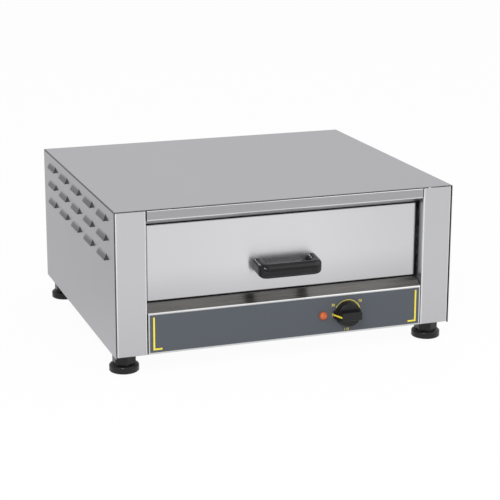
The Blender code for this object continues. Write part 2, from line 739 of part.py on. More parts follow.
def cavity_floor(parent):
    """Slotted floor over the element, with a flange down each side."""
    low = FLOOR_TOP - CAVITY_FLANGE
    path = [(-CAVITY_HALF, low), (-CAVITY_HALF, FLOOR_TOP), (CAVITY_HALF, FLOOR_TOP), (CAVITY_HALF, low)]
    shape = bmesh.new()
    add_extruded(shape, folded(path, SHEET, HIDDEN_BEND, HIDDEN_BEND_STEPS, side=-1), "Y",
                 RECESS_REAR + GAP, INNER_REAR - SHEET - GAP)
    floor = put("cavity_floor", shape, GALVANISED, parent)
    holes = bmesh.new()
    for row in spread(FLOOR_SLOT_ROW_COUNT, FLOOR_SLOT_ROW_PITCH):
        for x in spread(FLOOR_SLOT_COUNT, FLOOR_SLOT_PITCH):
            y = INNER_REAR / 2 + row
            add_box(holes, (x - FLOOR_SLOT_LENGTH / 2, y - FLOOR_SLOT_WIDTH / 2, FLOOR_TOP - SHEET - OVERRUN),
                    (x + FLOOR_SLOT_LENGTH / 2, y + FLOOR_SLOT_WIDTH / 2, FLOOR_TOP + OVERRUN))
    cut(floor, holes)


def cavity_rear_wall(parent):
    """Wall behind the drawer, with a flange back along each side and the capillary's hole."""
    front = INNER_REAR - SHEET
    rear = front + CAVITY_FLANGE
    path = [(-CAVITY_HALF, rear), (-CAVITY_HALF, front), (CAVITY_HALF, front), (CAVITY_HALF, rear)]
    shape = bmesh.new()
    add_extruded(shape, folded(path, SHEET, HIDDEN_BEND, HIDDEN_BEND_STEPS), "Z",
                 FLOOR_TOP - REAR_WALL_DROP, CEILING - HIDDEN_BEND)
    wall = put("cavity_rear_wall", shape, GALVANISED, parent)
    hole = bmesh.new()
    add_rod(hole, "Y", front - OVERRUN, INNER_REAR + OVERRUN, capillary_hole(), CAPILLARY_RADIUS + SHEET)
    cut(wall, hole)


# Runners

def pin(root, tip, y):
    """A rivet pin along X from inside its rail, with its head beyond the roller."""
    way = 1 if tip > root else -1
    length = abs(tip - root)
    profile = [(0, 0), (PIN_RADIUS, 0), (PIN_RADIUS, length - PIN_HEAD), (PIN_HEAD_RADIUS, length - PIN_HEAD),
               (PIN_HEAD_RADIUS, length), (0, length)]
    shape = bmesh.new()
    add_turned(shape, "X", root, (y, RUNNER_AXIS), [(radius, way * height) for radius, height in profile],
               SMALL_SIDES)
    return shape


def rail(name, outline, start, end, parent, root, tip, pin_y):
    """A runner rail of one section, with its roller's pin riveted into it."""
    shape = bmesh.new()
    add_extruded(shape, outline, "Y", start, end)
    join(put(name, shape, ZINC, parent), pin(root, tip, pin_y))


def cabinet_rails(parent):
    """Channels open towards the drawer, on the sides of the cavity."""
    low, high = CHANNEL_LOW - RAIL_SHEET, CHANNEL_HIGH + RAIL_SHEET
    path = [(CHANNEL_MOUTH, low), (CAVITY_HALF, low), (CAVITY_HALF, high), (CHANNEL_MOUTH, high)]
    root = CAVITY_HALF - RAIL_SHEET * ROOT_SHARE
    tip = ROLLER_X - ROLLER_WIDTH / 2 - GAP - PIN_HEAD
    for side, hand, outline in both_sides(folded(path, RAIL_SHEET, GAP, HIDDEN_BEND_STEPS)):
        rail("cabinet_rail_" + hand, outline, CHANNEL_FRONT, CHANNEL_REAR, parent, side * root, side * tip,
             FRONT_ROLLER_Y)


def drawer_rails(parent):
    """Angles on the sides of the tray: a web, and a flange that runs over the cabinet's rollers."""
    inner, top = DRAWER_RAIL_FACE - RAIL_SHEET, CHANNEL_HIGH - GAP
    low, edge = RUNNER_AXIS + ROLLER_RADIUS - DRAWER_RAIL_WEB, HALF_OPENING - RUN_GAP
    path = [(inner, low), (inner, top), (edge, top)]
    root = DRAWER_RAIL_FACE - RAIL_SHEET * ROOT_SHARE
    tip = ROLLER_X + ROLLER_WIDTH / 2 + GAP + PIN_HEAD
    for side, hand, outline in both_sides(folded(path, RAIL_SHEET, GAP, HIDDEN_BEND_STEPS, side=-1)):
        rail("drawer_rail_" + hand, outline, TRAY_FRONT, TRAY_REAR, parent, side * root, side * tip,
             REAR_ROLLER_Y)


def rollers(cabinet, drawer):
    """Four nylon rollers, each with its origin on its pin's axis."""
    half = ROLLER_WIDTH / 2
    rim, bore = ROLLER_RADIUS - ROLLER_CHAMFER, PIN_RADIUS + GAP
    profile = [(bore, -half), (rim, -half), (ROLLER_RADIUS, ROLLER_CHAMFER - half),
               (ROLLER_RADIUS, half - ROLLER_CHAMFER), (rim, half), (bore, half)]
    for side, hand in ((-1, "left"), (1, "right")):
        for kind, parent, y in (("cabinet", cabinet, FRONT_ROLLER_Y), ("drawer", drawer, REAR_ROLLER_Y)):
            shape = bmesh.new()
            add_turned(shape, "X", 0, (0, 0), profile, ROUND_SIDES)
            put(f"{kind}_roller_{hand}", shape, NYLON, parent, (side * ROLLER_X, y, RUNNER_AXIS))


# Drawer

def shelled(name, shape, parent):
    """An open box of sheet, with its wall inside the faces given."""
    made = put(name, shape, STEEL, parent)
    wall = made.modifiers.new("wall", "SOLIDIFY")
    wall.thickness = SHEET
    wall.offset = -1
    wall.use_even_offset = True
    return made


def round_edges(shape, edges, radius, steps):
    """Round a list of edges of a bmesh."""
    bmesh.ops.bevel(shape, geom=edges, offset=radius, offset_type="OFFSET", affect="EDGES",
                    segments=steps, profile=ROUND_PROFILE_SHARE, material=-1)


def is_level(edge):
    """Whether both ends of an edge are at one height."""
    return abs(edge.verts[0].co.z - edge.verts[1].co.z) < GAP


def drawer_front(parent):
    """Skin of the drawer front: a shallow pan with rounded upright edges, open at its rear."""
    shape = bmesh.new()
    add_box(shape, (-FRONT_HALF, FRONT_FACE, FRONT_BOTTOM), (FRONT_HALF, FRONT_REAR, FRONT_TOP))
    bmesh.ops.recalc_face_normals(shape, faces=shape.faces)
    rear = [face for face in shape.faces if face.normal.y > ROOT_SHARE]
    bmesh.ops.delete(shape, geom=rear, context="FACES")
    upright = [edge for edge in shape.edges if not edge.is_boundary and not is_level(edge)]
    round_edges(shape, upright, FRONT_EDGE_RADIUS, FRONT_EDGE_STEPS)
    rim = [edge for edge in shape.edges if not edge.is_boundary and is_level(edge)]
    round_edges(shape, rim, FRONT_RIM_RADIUS, FRONT_RIM_STEPS)
    front = shelled("drawer_front", shape, parent)
    holes = bmesh.new()
    for side in (-1, 1):
        screw_hole(holes, FRONT_FACE, FRONT_FACE + SHEET, (side * HANDLE_ARM_X, HANDLE_Z))
    cut(front, holes)


def drawer_backing(parent):
    """Plate that closes the rear of the drawer front."""
    inset = SHEET + GAP
    shape = bmesh.new()
    add_box(shape, (inset - FRONT_HALF, FRONT_REAR - SHEET, FRONT_BOTTOM + inset),
            (FRONT_HALF - inset, FRONT_REAR, FRONT_TOP - inset))
    put("drawer_front_backing", shape, GALVANISED, parent)


def drawer_tray(parent):
    """Open tray that holds the buns."""
    shape = bmesh.new()
    add_box(shape, (-TRAY_HALF, TRAY_FRONT, TRAY_BOTTOM), (TRAY_HALF, TRAY_REAR, TRAY_BOTTOM + TRAY_HEIGHT))
    bmesh.ops.recalc_face_normals(shape, faces=shape.faces)
    top = [face for face in shape.faces if face.normal.z > ROOT_SHARE]
    bmesh.ops.delete(shape, geom=top, context="FACES")
    folds = [edge for edge in shape.edges if not edge.is_boundary]
    round_edges(shape, folds, TRAY_CORNER, TRAY_CORNER_STEPS)
    shelled("drawer_tray", shape, parent)


def handle_outline():
    """Plan of the handle: a bar across two arms that reach back to the drawer front."""
    half, inner = HANDLE_WIDTH / 2, HANDLE_WIDTH / 2 - HANDLE_ARM
    bar_front = FRONT_FACE - HANDLE_REACH
    corner = (half - HANDLE_CORNER, bar_front + HANDLE_CORNER)
    inner_corner = (inner - HANDLE_INNER_CORNER, bar_front + HANDLE_BAR + HANDLE_INNER_CORNER)
    right = arc(corner, HANDLE_CORNER, -pi / 2, 0, HANDLE_CORNER_STEPS)
    right += [(half, HANDLE_BASE), (inner, HANDLE_BASE)]
    right += arc(inner_corner, HANDLE_INNER_CORNER, 0, -pi / 2, HANDLE_CORNER_STEPS)
    return right + mirrored(right)


def handle(parent):
    """Moulded bridge handle, cranked down a little, with its two screws from behind."""
    shape = bmesh.new()
    add_extruded(shape, handle_outline(), "Z", -HANDLE_HEIGHT / 2, HANDLE_HEIGHT / 2)
    rims = [edge for edge in shape.edges
            if is_level(edge) and not all(v.co.y > HANDLE_BASE - GAP for v in edge.verts)]
    round_edges(shape, rims, HANDLE_ROUND, HANDLE_ROUND_STEPS)
    for vert in shape.verts:
        vert.co.z += HANDLE_Z - HANDLE_DROP * (HANDLE_BASE - vert.co.y) / HANDLE_REACH
    grip = put("handle", shape, BLACK_GLOSS, parent)
    holes = bmesh.new()
    hole_end = HANDLE_BASE - SCREW_TAIL - GAP
    for side, hand in ((-1, "left"), (1, "right")):
        across = (side * HANDLE_ARM_X, HANDLE_Z)
        add_rod(holes, "Y", hole_end - GAP, HANDLE_BASE + OVERRUN, across, SCREW_RADIUS + GAP)
        screw("handle_screw_" + hand, FRONT_FACE + SHEET, -1, across, SHEET, parent)
    cut(grip, holes)


# Dial

def knob(parent):
    """Hollow skirt and hub turned in one, with the grip joined across it."""
    face = KNOB_SKIRT - KNOB_BACK
    wall, bore = KNOB_RADIUS - KNOB_WALL, SHAFT_RADIUS + GAP
    rim = KNOB_RADIUS - KNOB_TAPER
    profile = [(0, face), (rim - KNOB_EDGE, face), (rim, face - KNOB_EDGE), (KNOB_RADIUS, 0), (wall, 0),
               (wall - KNOB_TAPER, KNOB_HOLLOW), (KNOB_HUB, KNOB_HOLLOW), (KNOB_HUB, 0), (bore, 0),
               (bore, KNOB_HOLLOW), (0, KNOB_HOLLOW)]
    shape = bmesh.new()
    add_turned(shape, "Y", 0, (0, 0), [(radius, -height) for radius, height in profile], KNOB_SIDES)
    turned = put("knob", shape, BLACK_SATIN, parent)
    grip = bmesh.new()
    front, sink = KNOB_BACK - KNOB_PROUD, GRIP_SINK - face
    inside = KNOB_WALL * ROOT_SHARE - KNOB_RADIUS
    outline = [(GRIP_HEEL, sink), (GRIP_HEEL, front), (-GRIP_TOE, front), (-GRIP_NOSE, -RUN_GAP),
               (inside, -RUN_GAP), (-GRIP_TOE, sink)]
    add_extruded(grip, outline, "Z", -GRIP_WIDTH / 2, GRIP_WIDTH / 2)
    edges = [edge for edge in grip.edges if any(v.co.y < front + GAP for v in edge.verts)]
    round_edges(grip, edges, GRIP_EDGE, HIDDEN_BEND_STEPS)
    join(turned, grip)
    hole = bmesh.new()
    add_rod(hole, "Y", -KNOB_BORE_DEPTH, -KNOB_HOLLOW * ROOT_SHARE, (0, 0), bore, KNOB_SIDES)
    cut(turned, hole)


def knob_pointer(parent):
    """The line that runs down the nose of the grip."""
    toe = Vector((-GRIP_TOE, KNOB_BACK - KNOB_PROUD))
    nose = Vector((-GRIP_NOSE, -RUN_GAP))
    way = (nose - toe).normalized()
    out = Vector((-way.y, way.x))
    start = toe + way * 2 * GRIP_EDGE + out * GAP
    end = nose - way * GRIP_EDGE + out * GAP
    outline = [start, end, end + out * POINTER_THICK, start + out * POINTER_THICK]
    shape = bmesh.new()
    add_extruded(shape, [tuple(point) for point in outline], "Z", -POINTER_WIDTH / 2, POINTER_WIDTH / 2)
    put("knob_pointer", shape, POINTER_YELLOW, parent)


def thermostat(parent, dial):
    """Body with its bush, two screws, and the shaft that turns with the knob."""
    half_width, half_height = THERMOSTAT_WIDTH / 2, THERMOSTAT_HEIGHT / 2
    shape = bmesh.new()
    add_box(shape, (KNOB_X - half_width, THERMOSTAT_FRONT, DIAL_Z - half_height),
            (KNOB_X + half_width, THERMOSTAT_REAR, DIAL_Z + half_height))
    body = put("thermostat_body", shape, CERAMIC, parent)
    bush = bmesh.new()
    add_rod(bush, "Y", -OVERLAY_FRONT, THERMOSTAT_FRONT + SHEET, (KNOB_X, DIAL_Z), BUSH_RADIUS, ROUND_SIDES)
    join(body, bush)
    holes = bmesh.new()
    shaft_end = THERMOSTAT_FRONT + SHAFT_DEPTH
    add_rod(holes, "Y", -OVERLAY_FRONT - OVERRUN, shaft_end + RUN_GAP, (KNOB_X, DIAL_Z), SHAFT_RADIUS + GAP,
            ROUND_SIDES)
    grip = OVERLAY_FRONT + THERMOSTAT_FRONT
    for side, hand in ((-1, "left"), (1, "right")):
        across = (KNOB_X + side * THERMOSTAT_SCREW_OFFSET, DIAL_Z)
        add_rod(holes, "Y", THERMOSTAT_FRONT - OVERRUN, THERMOSTAT_FRONT + SCREW_TAIL + GAP, across,
                SCREW_RADIUS + GAP)
        screw("thermostat_screw_" + hand, -OVERLAY_FRONT, 1, across, grip - GAP, parent)
    cut(body, holes)
    shaft = bmesh.new()
    add_rod(shaft, "Y", GAP - KNOB_BORE_DEPTH, KNOB_BACK + shaft_end, (0, 0), SHAFT_RADIUS, ROUND_SIDES)
    put("thermostat_shaft", shaft, ZINC, dial)


def indicator(parent):
    """Lamp housing, whose rim stands on the overlay and whose barrel goes through it, and the lens."""
    seat = OVERLAY_FRONT + GAP
    inner, barrel_end = LAMP_LENS_RADIUS + GAP, -(LAMP_DEPTH - seat)
    profile = [(0, SHEET), (inner, SHEET), (inner, LAMP_PROUD), (LAMP_RADIUS - LAMP_PROUD / 4, LAMP_PROUD),
               (LAMP_RADIUS, LAMP_PROUD / 2), (LAMP_RADIUS, 0), (LAMP_BARREL, 0), (LAMP_BARREL, barrel_end),
               (0, barrel_end)]
    housing = bmesh.new()
    add_turned(housing, "Y", -seat, (LAMP_X, DIAL_Z), [(radius, -height) for radius, height in profile],
               ROUND_SIDES)
    put("indicator_housing", housing, LAMP_RIM, parent)
    back = SHEET + GAP
    profile = [(0, back), (LAMP_LENS_RADIUS, back), (LAMP_LENS_RADIUS, LAMP_PROUD),
               (LAMP_LENS_RADIUS * LENS_CROWN_SHARE, LAMP_LENS_PROUD), (0, LAMP_LENS_PROUD)]
    lens = bmesh.new()
    add_turned(lens, "Y", -seat, (LAMP_X, DIAL_Z), [(radius, -height) for radius, height in profile],
               LENS_SIDES)
    put("indicator_lens", lens, LAMP_AMBER, parent)


# Leads, tubes and the heating element

def smooth_route(places):
    """Points read from a smooth curve through the places given, with a straight run at each end."""
    first, *points, last = [Vector(place) for place in places]
    ends = [first] + points + [last]
    route = [first]
    for before, here, there, after in zip(ends, ends[1:], ends[2:], ends[3:]):
        for step in range(LEAD_STEPS):
            t = step / LEAD_STEPS
            route.append((2 * here + (there - before) * t
                          + (2 * before - 5 * here + 4 * there - after) * t ** 2
                          + (3 * here - before - 3 * there + after) * t ** 3) / 2)
    return route + [points[-1], last]


def tube(name, route, radius, look, parent, resolution=1, radii=None):
    """A curve with a round bevel and filled caps along a route."""
    curve = bpy.data.curves.new(name, "CURVE")
    curve.dimensions = "3D"
    curve.bevel_depth = radius
    curve.bevel_resolution = resolution
    curve.use_fill_caps = True
    line = curve.splines.new("POLY")
    line.points.add(len(route) - 1)
    for index, (point, place) in enumerate(zip(line.points, route)):
        point.co = (*place, 1)
        point.radius = radii[index] if radii else 1
    line.use_smooth = True
    made = bpy.data.objects.new(name, curve)
    bpy.context.collection.objects.link(made)
    made.parent = parent
    curve.materials.append(material(name, look))
    return made


def element_route():
    """Centre line of the serpentine element, from one cold end to the other."""
    route = [Vector((-ELEMENT_LEAD_IN, ELEMENT_FIRST, ELEMENT_HEIGHT))]
    for run in range(ELEMENT_RUN_COUNT - 1):
        side = 1 if run % 2 == 0 else -1
        middle = ELEMENT_FIRST + (run + 1 / 2) * ELEMENT_PITCH
        for x, y in arc((0, middle), ELEMENT_PITCH / 2, -pi / 2, pi / 2, ELEMENT_TURN_STEPS):
            route.append(Vector((side * (ELEMENT_SPAN + x), y, ELEMENT_HEIGHT)))
    route.append(Vector((-ELEMENT_LEAD_IN, ELEMENT_LAST, ELEMENT_HEIGHT)))
    return route


def heating_element(parent):
    """Sheathed element with a ceramic bead and a pin at each end."""
    guide = tube("element_guide", element_route(), ELEMENT_RADIUS, SHEATH, None, resolution=2)
    mesh = bpy.data.meshes.new_from_object(guide)
    bpy.data.objects.remove(guide)
    shape = bmesh.new()
    shape.from_mesh(mesh)
    bmesh.ops.remove_doubles(shape, verts=shape.verts, dist=WELD)
    element = put("heating_element", shape, SHEATH, parent)
    ends = bmesh.new()
    root, bead = -TERMINAL_LENGTH / 3, TERMINAL_LENGTH
    tip = bead + TERMINAL_PIN_LENGTH
    profile = [(0, root), (TERMINAL_RADIUS, root), (TERMINAL_RADIUS, bead), (TERMINAL_PIN_RADIUS, bead),
               (TERMINAL_PIN_RADIUS, tip), (0, tip)]
    outward = [(radius, -height) for radius, height in profile]
    for y in (ELEMENT_FIRST, ELEMENT_LAST):
        add_turned(ends, "X", -ELEMENT_LEAD_IN, (y, ELEMENT_HEIGHT), outward, ROUND_SIDES)
    join(element, ends)


def element_supports(parent):
    """Two drilled brackets on the pan, which the element lies in."""
    runs = [ELEMENT_FIRST + k * ELEMENT_PITCH for k in range(ELEMENT_RUN_COUNT)]
    low, high = runs[0] - ELEMENT_PITCH / 2, runs[-1] + ELEMENT_PITCH / 2
    path = [(SUPPORT_X - SUPPORT_FOOT, STAND), (SUPPORT_X, STAND), (SUPPORT_X, ELEMENT_HEIGHT + SUPPORT_RISE)]
    for side, hand, outline in both_sides(folded(path, SHEET, HIDDEN_BEND, HIDDEN_BEND_STEPS)):
        shape = bmesh.new()
        add_extruded(shape, outline, "Y", low, high)
        support = put("element_support_" + hand, shape, GALVANISED, parent)
        holes = bmesh.new()
        ends = sorted((side * (SUPPORT_X - SHEET - OVERRUN), side * (SUPPORT_X + OVERRUN)))
        for y in runs:
            add_rod(holes, "X", *ends, (y, ELEMENT_HEIGHT), ELEMENT_RADIUS + GAP, ROUND_SIDES)
        cut(support, holes)


def block_ways():
    """Places of the terminal block's ways, left to right."""
    return [BLOCK_X + step for step in spread(BLOCK_WAY_COUNT, BLOCK_WIDTH / BLOCK_WAY_COUNT)]


def terminal_block(parent):
    """Block on the pan with a screw well over each way, and the earth stud beside it."""
    top = STAND + BLOCK_HEIGHT
    shape = bmesh.new()
    add_box(shape, (BLOCK_X - BLOCK_WIDTH / 2, BLOCK_FRONT, STAND),
            (BLOCK_X + BLOCK_WIDTH / 2, BLOCK_REAR, top))
    block = put("terminal_block", shape, NYLON, parent)
    wells = bmesh.new()
    for x in block_ways():
        add_rod(wells, "Z", top - BLOCK_WELL_DEPTH, top + OVERRUN, (x, BLOCK_MIDDLE), BLOCK_WELL_RADIUS)
    cut(block, wells)

    profile = [(0, 0), (SCREW_HEAD_RADIUS, 0), (SCREW_HEAD_RADIUS, EARTH_HEAD), (EARTH_RADIUS, EARTH_HEAD),
               (EARTH_RADIUS, EARTH_HEIGHT), (0, EARTH_HEIGHT)]
    stud = bmesh.new()
    add_turned(stud, "Z", PAN_LIFT - GAP - EARTH_HEAD, (EARTH_X, BLOCK_MIDDLE), profile, SMALL_SIDES)
    put("earth_stud", stud, BRASS, parent)


def cable_gland(parent):
    """Hollow gland through the rear panel, and its nut inside."""
    inside = REAR_INSIDE - GLAND_INSIDE
    seat = GLAND_INSIDE + SHEET + GAP + SHEET + GAP
    collar, end = seat + GLAND_COLLAR, seat + REAR_OUT - GAP
    profile = [(GLAND_BORE, 0), (GLAND_THREAD, 0), (GLAND_THREAD, seat), (GLAND_HEX, seat),
               (GLAND_HEX, collar), (GLAND_DOME_RADIUS, collar), (GLAND_DOME_RADIUS, end - GLAND_DOME_EDGE),
               (GLAND_DOME_RADIUS - GLAND_DOME_EDGE, end), (GLAND_BORE, end)]
    gland = bmesh.new()
    add_turned(gland, "Y", inside, (GLAND_X, GLAND_HEIGHT), profile, ROUND_SIDES)
    put("cable_gland", gland, BLACK_SATIN, parent)
    nut = bmesh.new()
    outline = [(GLAND_X + x, GLAND_HEIGHT + z) for x, z in hexagon(2 * GLAND_HEX)]
    nut_rear = REAR_INSIDE - GAP
    add_extruded(nut, outline, "Y", nut_rear - GLAND_NUT, nut_rear)
    bore = bmesh.new()
    add_rod(bore, "Y", nut_rear - GLAND_NUT - OVERRUN, nut_rear + OVERRUN, (GLAND_X, GLAND_HEIGHT),
            GLAND_THREAD + GAP, ROUND_SIDES)
    cut(put("gland_nut", nut, BLACK_SATIN, parent), bore)


# Sensing bulb

def bulb_axis():
    """Distance from the front, and height, of the bulb on the cavity's rear wall."""
    return INNER_REAR - SHEET - GAP - BULB_RADIUS, FLOOR_TOP + BULB_RISE


def capillary_hole():
    """Where the capillary goes through the cavity's rear wall."""
    return BULB_X + BULB_LENGTH + 4 * BULB_RADIUS, bulb_axis()[1]


def sensing_tube(parent):
    """Bulb on the cavity's rear wall and its capillary down to the thermostat, in one piece."""
    y, z = bulb_axis()
    end = BULB_X + BULB_LENGTH
    hole_x, hole_z = capillary_hole()
    behind = INNER_REAR + LEAD_CLEAR
    side = CAVITY_HALF - 3 * LEAD_CLEAR
    low = STAND + 2 * LEAD_RISE
    body_side, body_middle = KNOB_X + THERMOSTAT_WIDTH / 2, THERMOSTAT_FRONT + THERMOSTAT_DEPTH / 2
    bulb = [Vector((BULB_X, y, z)), Vector((end - BULB_RADIUS, y, z)), Vector((end, y, z))]
    points = [(end + BULB_RADIUS, y, z), (hole_x - BULB_RADIUS, y, hole_z),
              (hole_x, y + BULB_RADIUS, hole_z), (hole_x, behind, hole_z),
              (hole_x, behind + LEAD_CLEAR, hole_z - 2 * LEAD_CLEAR),
              (hole_x, behind + LEAD_CLEAR, FLOOR_TOP - 2 * REAR_WALL_DROP),
              (hole_x + 4 * LEAD_CLEAR, behind, low + LEAD_CLEAR),
              (side, INNER_REAR - 8 * LEAD_CLEAR, low), (side, DEPTH / 2, low),
              (side, THERMOSTAT_REAR + 6 * LEAD_CLEAR, low),
              (side - 4 * LEAD_CLEAR, THERMOSTAT_REAR, low + LEAD_CLEAR),
              (body_side + 6 * LEAD_CLEAR, body_middle, DIAL_Z - LEAD_RISE),
              (body_side + 2 * LEAD_CLEAR, body_middle, DIAL_Z - LEAD_RISE),
              (body_side + GAP, body_middle, DIAL_Z - LEAD_RISE)]
    route = bulb + smooth_route(points)
    radii = [1, 1] + [CAPILLARY_RADIUS / BULB_RADIUS] * (len(route) - 2)
    tube("thermostat_bulb", route, BULB_RADIUS, COPPER, parent, radii=radii)


def bulb_clip(parent):
    """Bent strip that holds the bulb against the cavity's rear wall."""
    y, z = bulb_axis()
    wall, reach = INNER_REAR - SHEET - GAP, BULB_RADIUS + GAP
    middle = BULB_X + BULB_LENGTH / 2
    path = [(wall, z - reach - CLIP_FOOT), (wall, z - reach), (y - reach, z - reach), (y - reach, z + reach),
            (y + BULB_RADIUS, z + reach)]
    shape = bmesh.new()
    add_extruded(shape, folded(path, CLIP_WALL, GAP, HIDDEN_BEND_STEPS), "X",
                 middle - CLIP_WIDTH / 2, middle + CLIP_WIDTH / 2)
    put("bulb_clip", shape, STEEL, parent)


def leads(parent):
    """Internal leads, held along the pan, between the block, thermostat, lamp and element."""
    front, rear = THERMOSTAT_REAR + GAP, BLOCK_FRONT - GAP
    low, high = STAND + LEAD_RISE, DIAL_Z + LEAD_RISE
    ways = block_ways()
    side = CAVITY_HALF - 2 * LEAD_CLEAR
    lane = THERMOSTAT_REAR + 3 * LEAD_CLEAR
    back = ELEMENT_LAST + ELEMENT_PITCH * 2 / 3
    pin_end = -(ELEMENT_LEAD_IN + TERMINAL_LENGTH + TERMINAL_PIN_LENGTH + GAP)
    far = pin_end - 2 * LEAD_CLEAR
    tabs = [KNOB_X + step for step in spread(BLOCK_WAY_COUNT, THERMOSTAT_WIDTH / BLOCK_WAY_COUNT)]
    lamp_rear = LAMP_DEPTH - OVERLAY_FRONT
    routes = {
        "supply_lead": [
            (ways[2], rear, low), (ways[2], rear - 3 * LEAD_CLEAR, low),
            (side - 5 * LEAD_CLEAR, back + 2 * LEAD_CLEAR, low), (side, back, low), (side, DEPTH / 2, low),
            (side, lane + 4 * LEAD_CLEAR, low), (side - 5 * LEAD_CLEAR, lane, low),
            (tabs[2], front + 2 * LEAD_CLEAR, high), (tabs[2], front, high)],
        "neutral_lead": [
            (ways[0], rear, low), (ways[0], rear - 3 * LEAD_CLEAR, low), (0, back, low),
            (far + 5 * LEAD_CLEAR, back, low), (far, back - 4 * LEAD_CLEAR, low + LEAD_RISE),
            (far, ELEMENT_LAST + LEAD_CLEAR, ELEMENT_HEIGHT),
            (pin_end - LEAD_CLEAR, ELEMENT_LAST, ELEMENT_HEIGHT), (pin_end, ELEMENT_LAST, ELEMENT_HEIGHT)],
        "switched_lead": [
            (tabs[1], front, high), (tabs[1], front + 2 * LEAD_CLEAR, high), (0, lane, low),
            (far + 5 * LEAD_CLEAR, lane, low), (far, lane + 4 * LEAD_CLEAR, low + LEAD_RISE),
            (far, ELEMENT_FIRST - LEAD_CLEAR, ELEMENT_HEIGHT),
            (pin_end - LEAD_CLEAR, ELEMENT_FIRST, ELEMENT_HEIGHT), (pin_end, ELEMENT_FIRST, ELEMENT_HEIGHT)],
        "lamp_lead": [
            (LAMP_X, lamp_rear, DIAL_Z), (LAMP_X, lamp_rear + 2 * LEAD_CLEAR, DIAL_Z),
            ((LAMP_X + tabs[0]) / 2, lane, high), (tabs[0], front + 2 * LEAD_CLEAR, high),
            (tabs[0], front, high)],
    }
    for name, points in routes.items():
        tube(name, smooth_route(points), LEAD_RADIUS, LEAD_SLEEVE, parent)


# Feet

def foot_profile():
    """Turned part of the pad, from the middle of its underside up to the neck."""
    bottom, neck = -CLEARANCE, FOOT_TOP - FOOT_NECK
    shoulder, neck_radius = FOOT_RIM - CLEARANCE, FOOT_NECK_FLATS / 2
    profile = [(0, bottom), (FOOT_RADIUS - FOOT_CHAMFER, bottom), (FOOT_RADIUS, bottom + FOOT_CHAMFER)]
    for across, up in arc((0, 0), 1, 0, pi / 2, FOOT_SHOULDER_STEPS):
        profile.append((neck_radius + (FOOT_RADIUS - neck_radius) * across,
                        shoulder + (neck - shoulder) * up))
    return profile + [(0, neck)]


def feet(parent):
    """Four feet: each pad with its hexagon neck, and the stud that screws into its weld nut."""
    for name, (x, y) in foot_places().items():
        shape = bmesh.new()
        add_turned(shape, "Z", 0, (0, 0), foot_profile(), FOOT_SIDES)
        pad = put("foot_pad_" + name, shape, BLACK_SATIN, parent, (x, y, 0))
        neck = bmesh.new()
        add_extruded(neck, hexagon(FOOT_NECK_FLATS, pi / 6), "Z", FOOT_TOP - FOOT_NECK - SHEET, FOOT_TOP)
        join(pad, neck)
        hole = bmesh.new()
        add_rod(hole, "Z", FOOT_TOP - STUD_SINK - GAP, FOOT_TOP + OVERRUN, (0, 0), STUD_RADIUS + GAP,
                ROUND_SIDES)
        cut(pad, hole)
        stud = bmesh.new()
        add_rod(stud, "Z", FOOT_TOP - STUD_SINK, FOOT_TOP + STUD_RISE, (0, 0), STUD_RADIUS, ROUND_SIDES)
        put("foot_stud_" + name, stud, ZINC, parent, (x, y, 0))


# Assembly

for old in list(bpy.data.objects):
    bpy.data.objects.remove(old, do_unlink=True)

cabinet_frame = empty("cabinet_frame", (0, FRONT_PLANE, CLEARANCE))
drawer_slide = empty("drawer_slide", (0, 0, 0), cabinet_frame)
dial_axis = empty("dial_axis", (KNOB_X, -KNOB_BACK, DIAL_Z), cabinet_frame)

outer_cover(cabinet_frame)
rear_panel(cabinet_frame)
base_pan(cabinet_frame)
posts(cabinet_frame)
top_rail(cabinet_frame)
control_panel(cabinet_frame)
panel_overlay(cabinet_frame)
cavity_shell(cabinet_frame)
cavity_floor(cabinet_frame)
cavity_rear_wall(cabinet_frame)
cabinet_rails(cabinet_frame)
drawer_rails(drawer_slide)
rollers(cabinet_frame, drawer_slide)
drawer_front(drawer_slide)
drawer_backing(drawer_slide)
drawer_tray(drawer_slide)
handle(drawer_slide)
knob(dial_axis)
knob_pointer(dial_axis)
thermostat(cabinet_frame, dial_axis)
indicator(cabinet_frame)
heating_element(cabinet_frame)
element_supports(cabinet_frame)
terminal_block(cabinet_frame)
cable_gland(cabinet_frame)
sensing_tube(cabinet_frame)
bulb_clip(cabinet_frame)
leads(cabinet_frame)
feet(cabinet_frame)
bpy.context.view_layer.update()
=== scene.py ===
# %% [markdown]
# A bun warmer is a sheet-metal box: a stainless cover, a front frame, a heated drawer and a few
# moulded pieces. The solid model gives each piece's size and place. This script dresses it: it
# makes the visible pieces again with rounder bends, and gives every piece its finish.

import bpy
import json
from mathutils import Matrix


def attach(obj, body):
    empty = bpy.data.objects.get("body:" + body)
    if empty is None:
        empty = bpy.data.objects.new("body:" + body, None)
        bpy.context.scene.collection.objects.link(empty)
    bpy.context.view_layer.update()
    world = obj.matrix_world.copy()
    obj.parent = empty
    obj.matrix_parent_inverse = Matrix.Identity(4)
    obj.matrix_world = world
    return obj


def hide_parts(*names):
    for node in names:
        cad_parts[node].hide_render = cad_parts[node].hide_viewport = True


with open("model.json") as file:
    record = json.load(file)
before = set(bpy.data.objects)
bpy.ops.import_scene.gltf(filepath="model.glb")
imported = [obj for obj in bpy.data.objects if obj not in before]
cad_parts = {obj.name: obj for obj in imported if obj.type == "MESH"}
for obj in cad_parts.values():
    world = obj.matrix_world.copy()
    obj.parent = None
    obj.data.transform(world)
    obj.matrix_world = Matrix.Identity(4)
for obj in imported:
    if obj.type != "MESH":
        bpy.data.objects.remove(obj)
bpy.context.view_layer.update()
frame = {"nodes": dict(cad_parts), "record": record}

# %% [markdown]
# All sizes are in metres. The cabinet is easiest to think of from its own front: y = 0 is the
# front plane of the posts and z = 0 is the cover's bottom edge. One shift puts every finished
# mesh where the solid model has it.

# %% Sizes of the cabinet
import json
from math import atan2, cos, pi, radians, sin

import bmesh
import bpy
from mathutils import Matrix, Vector

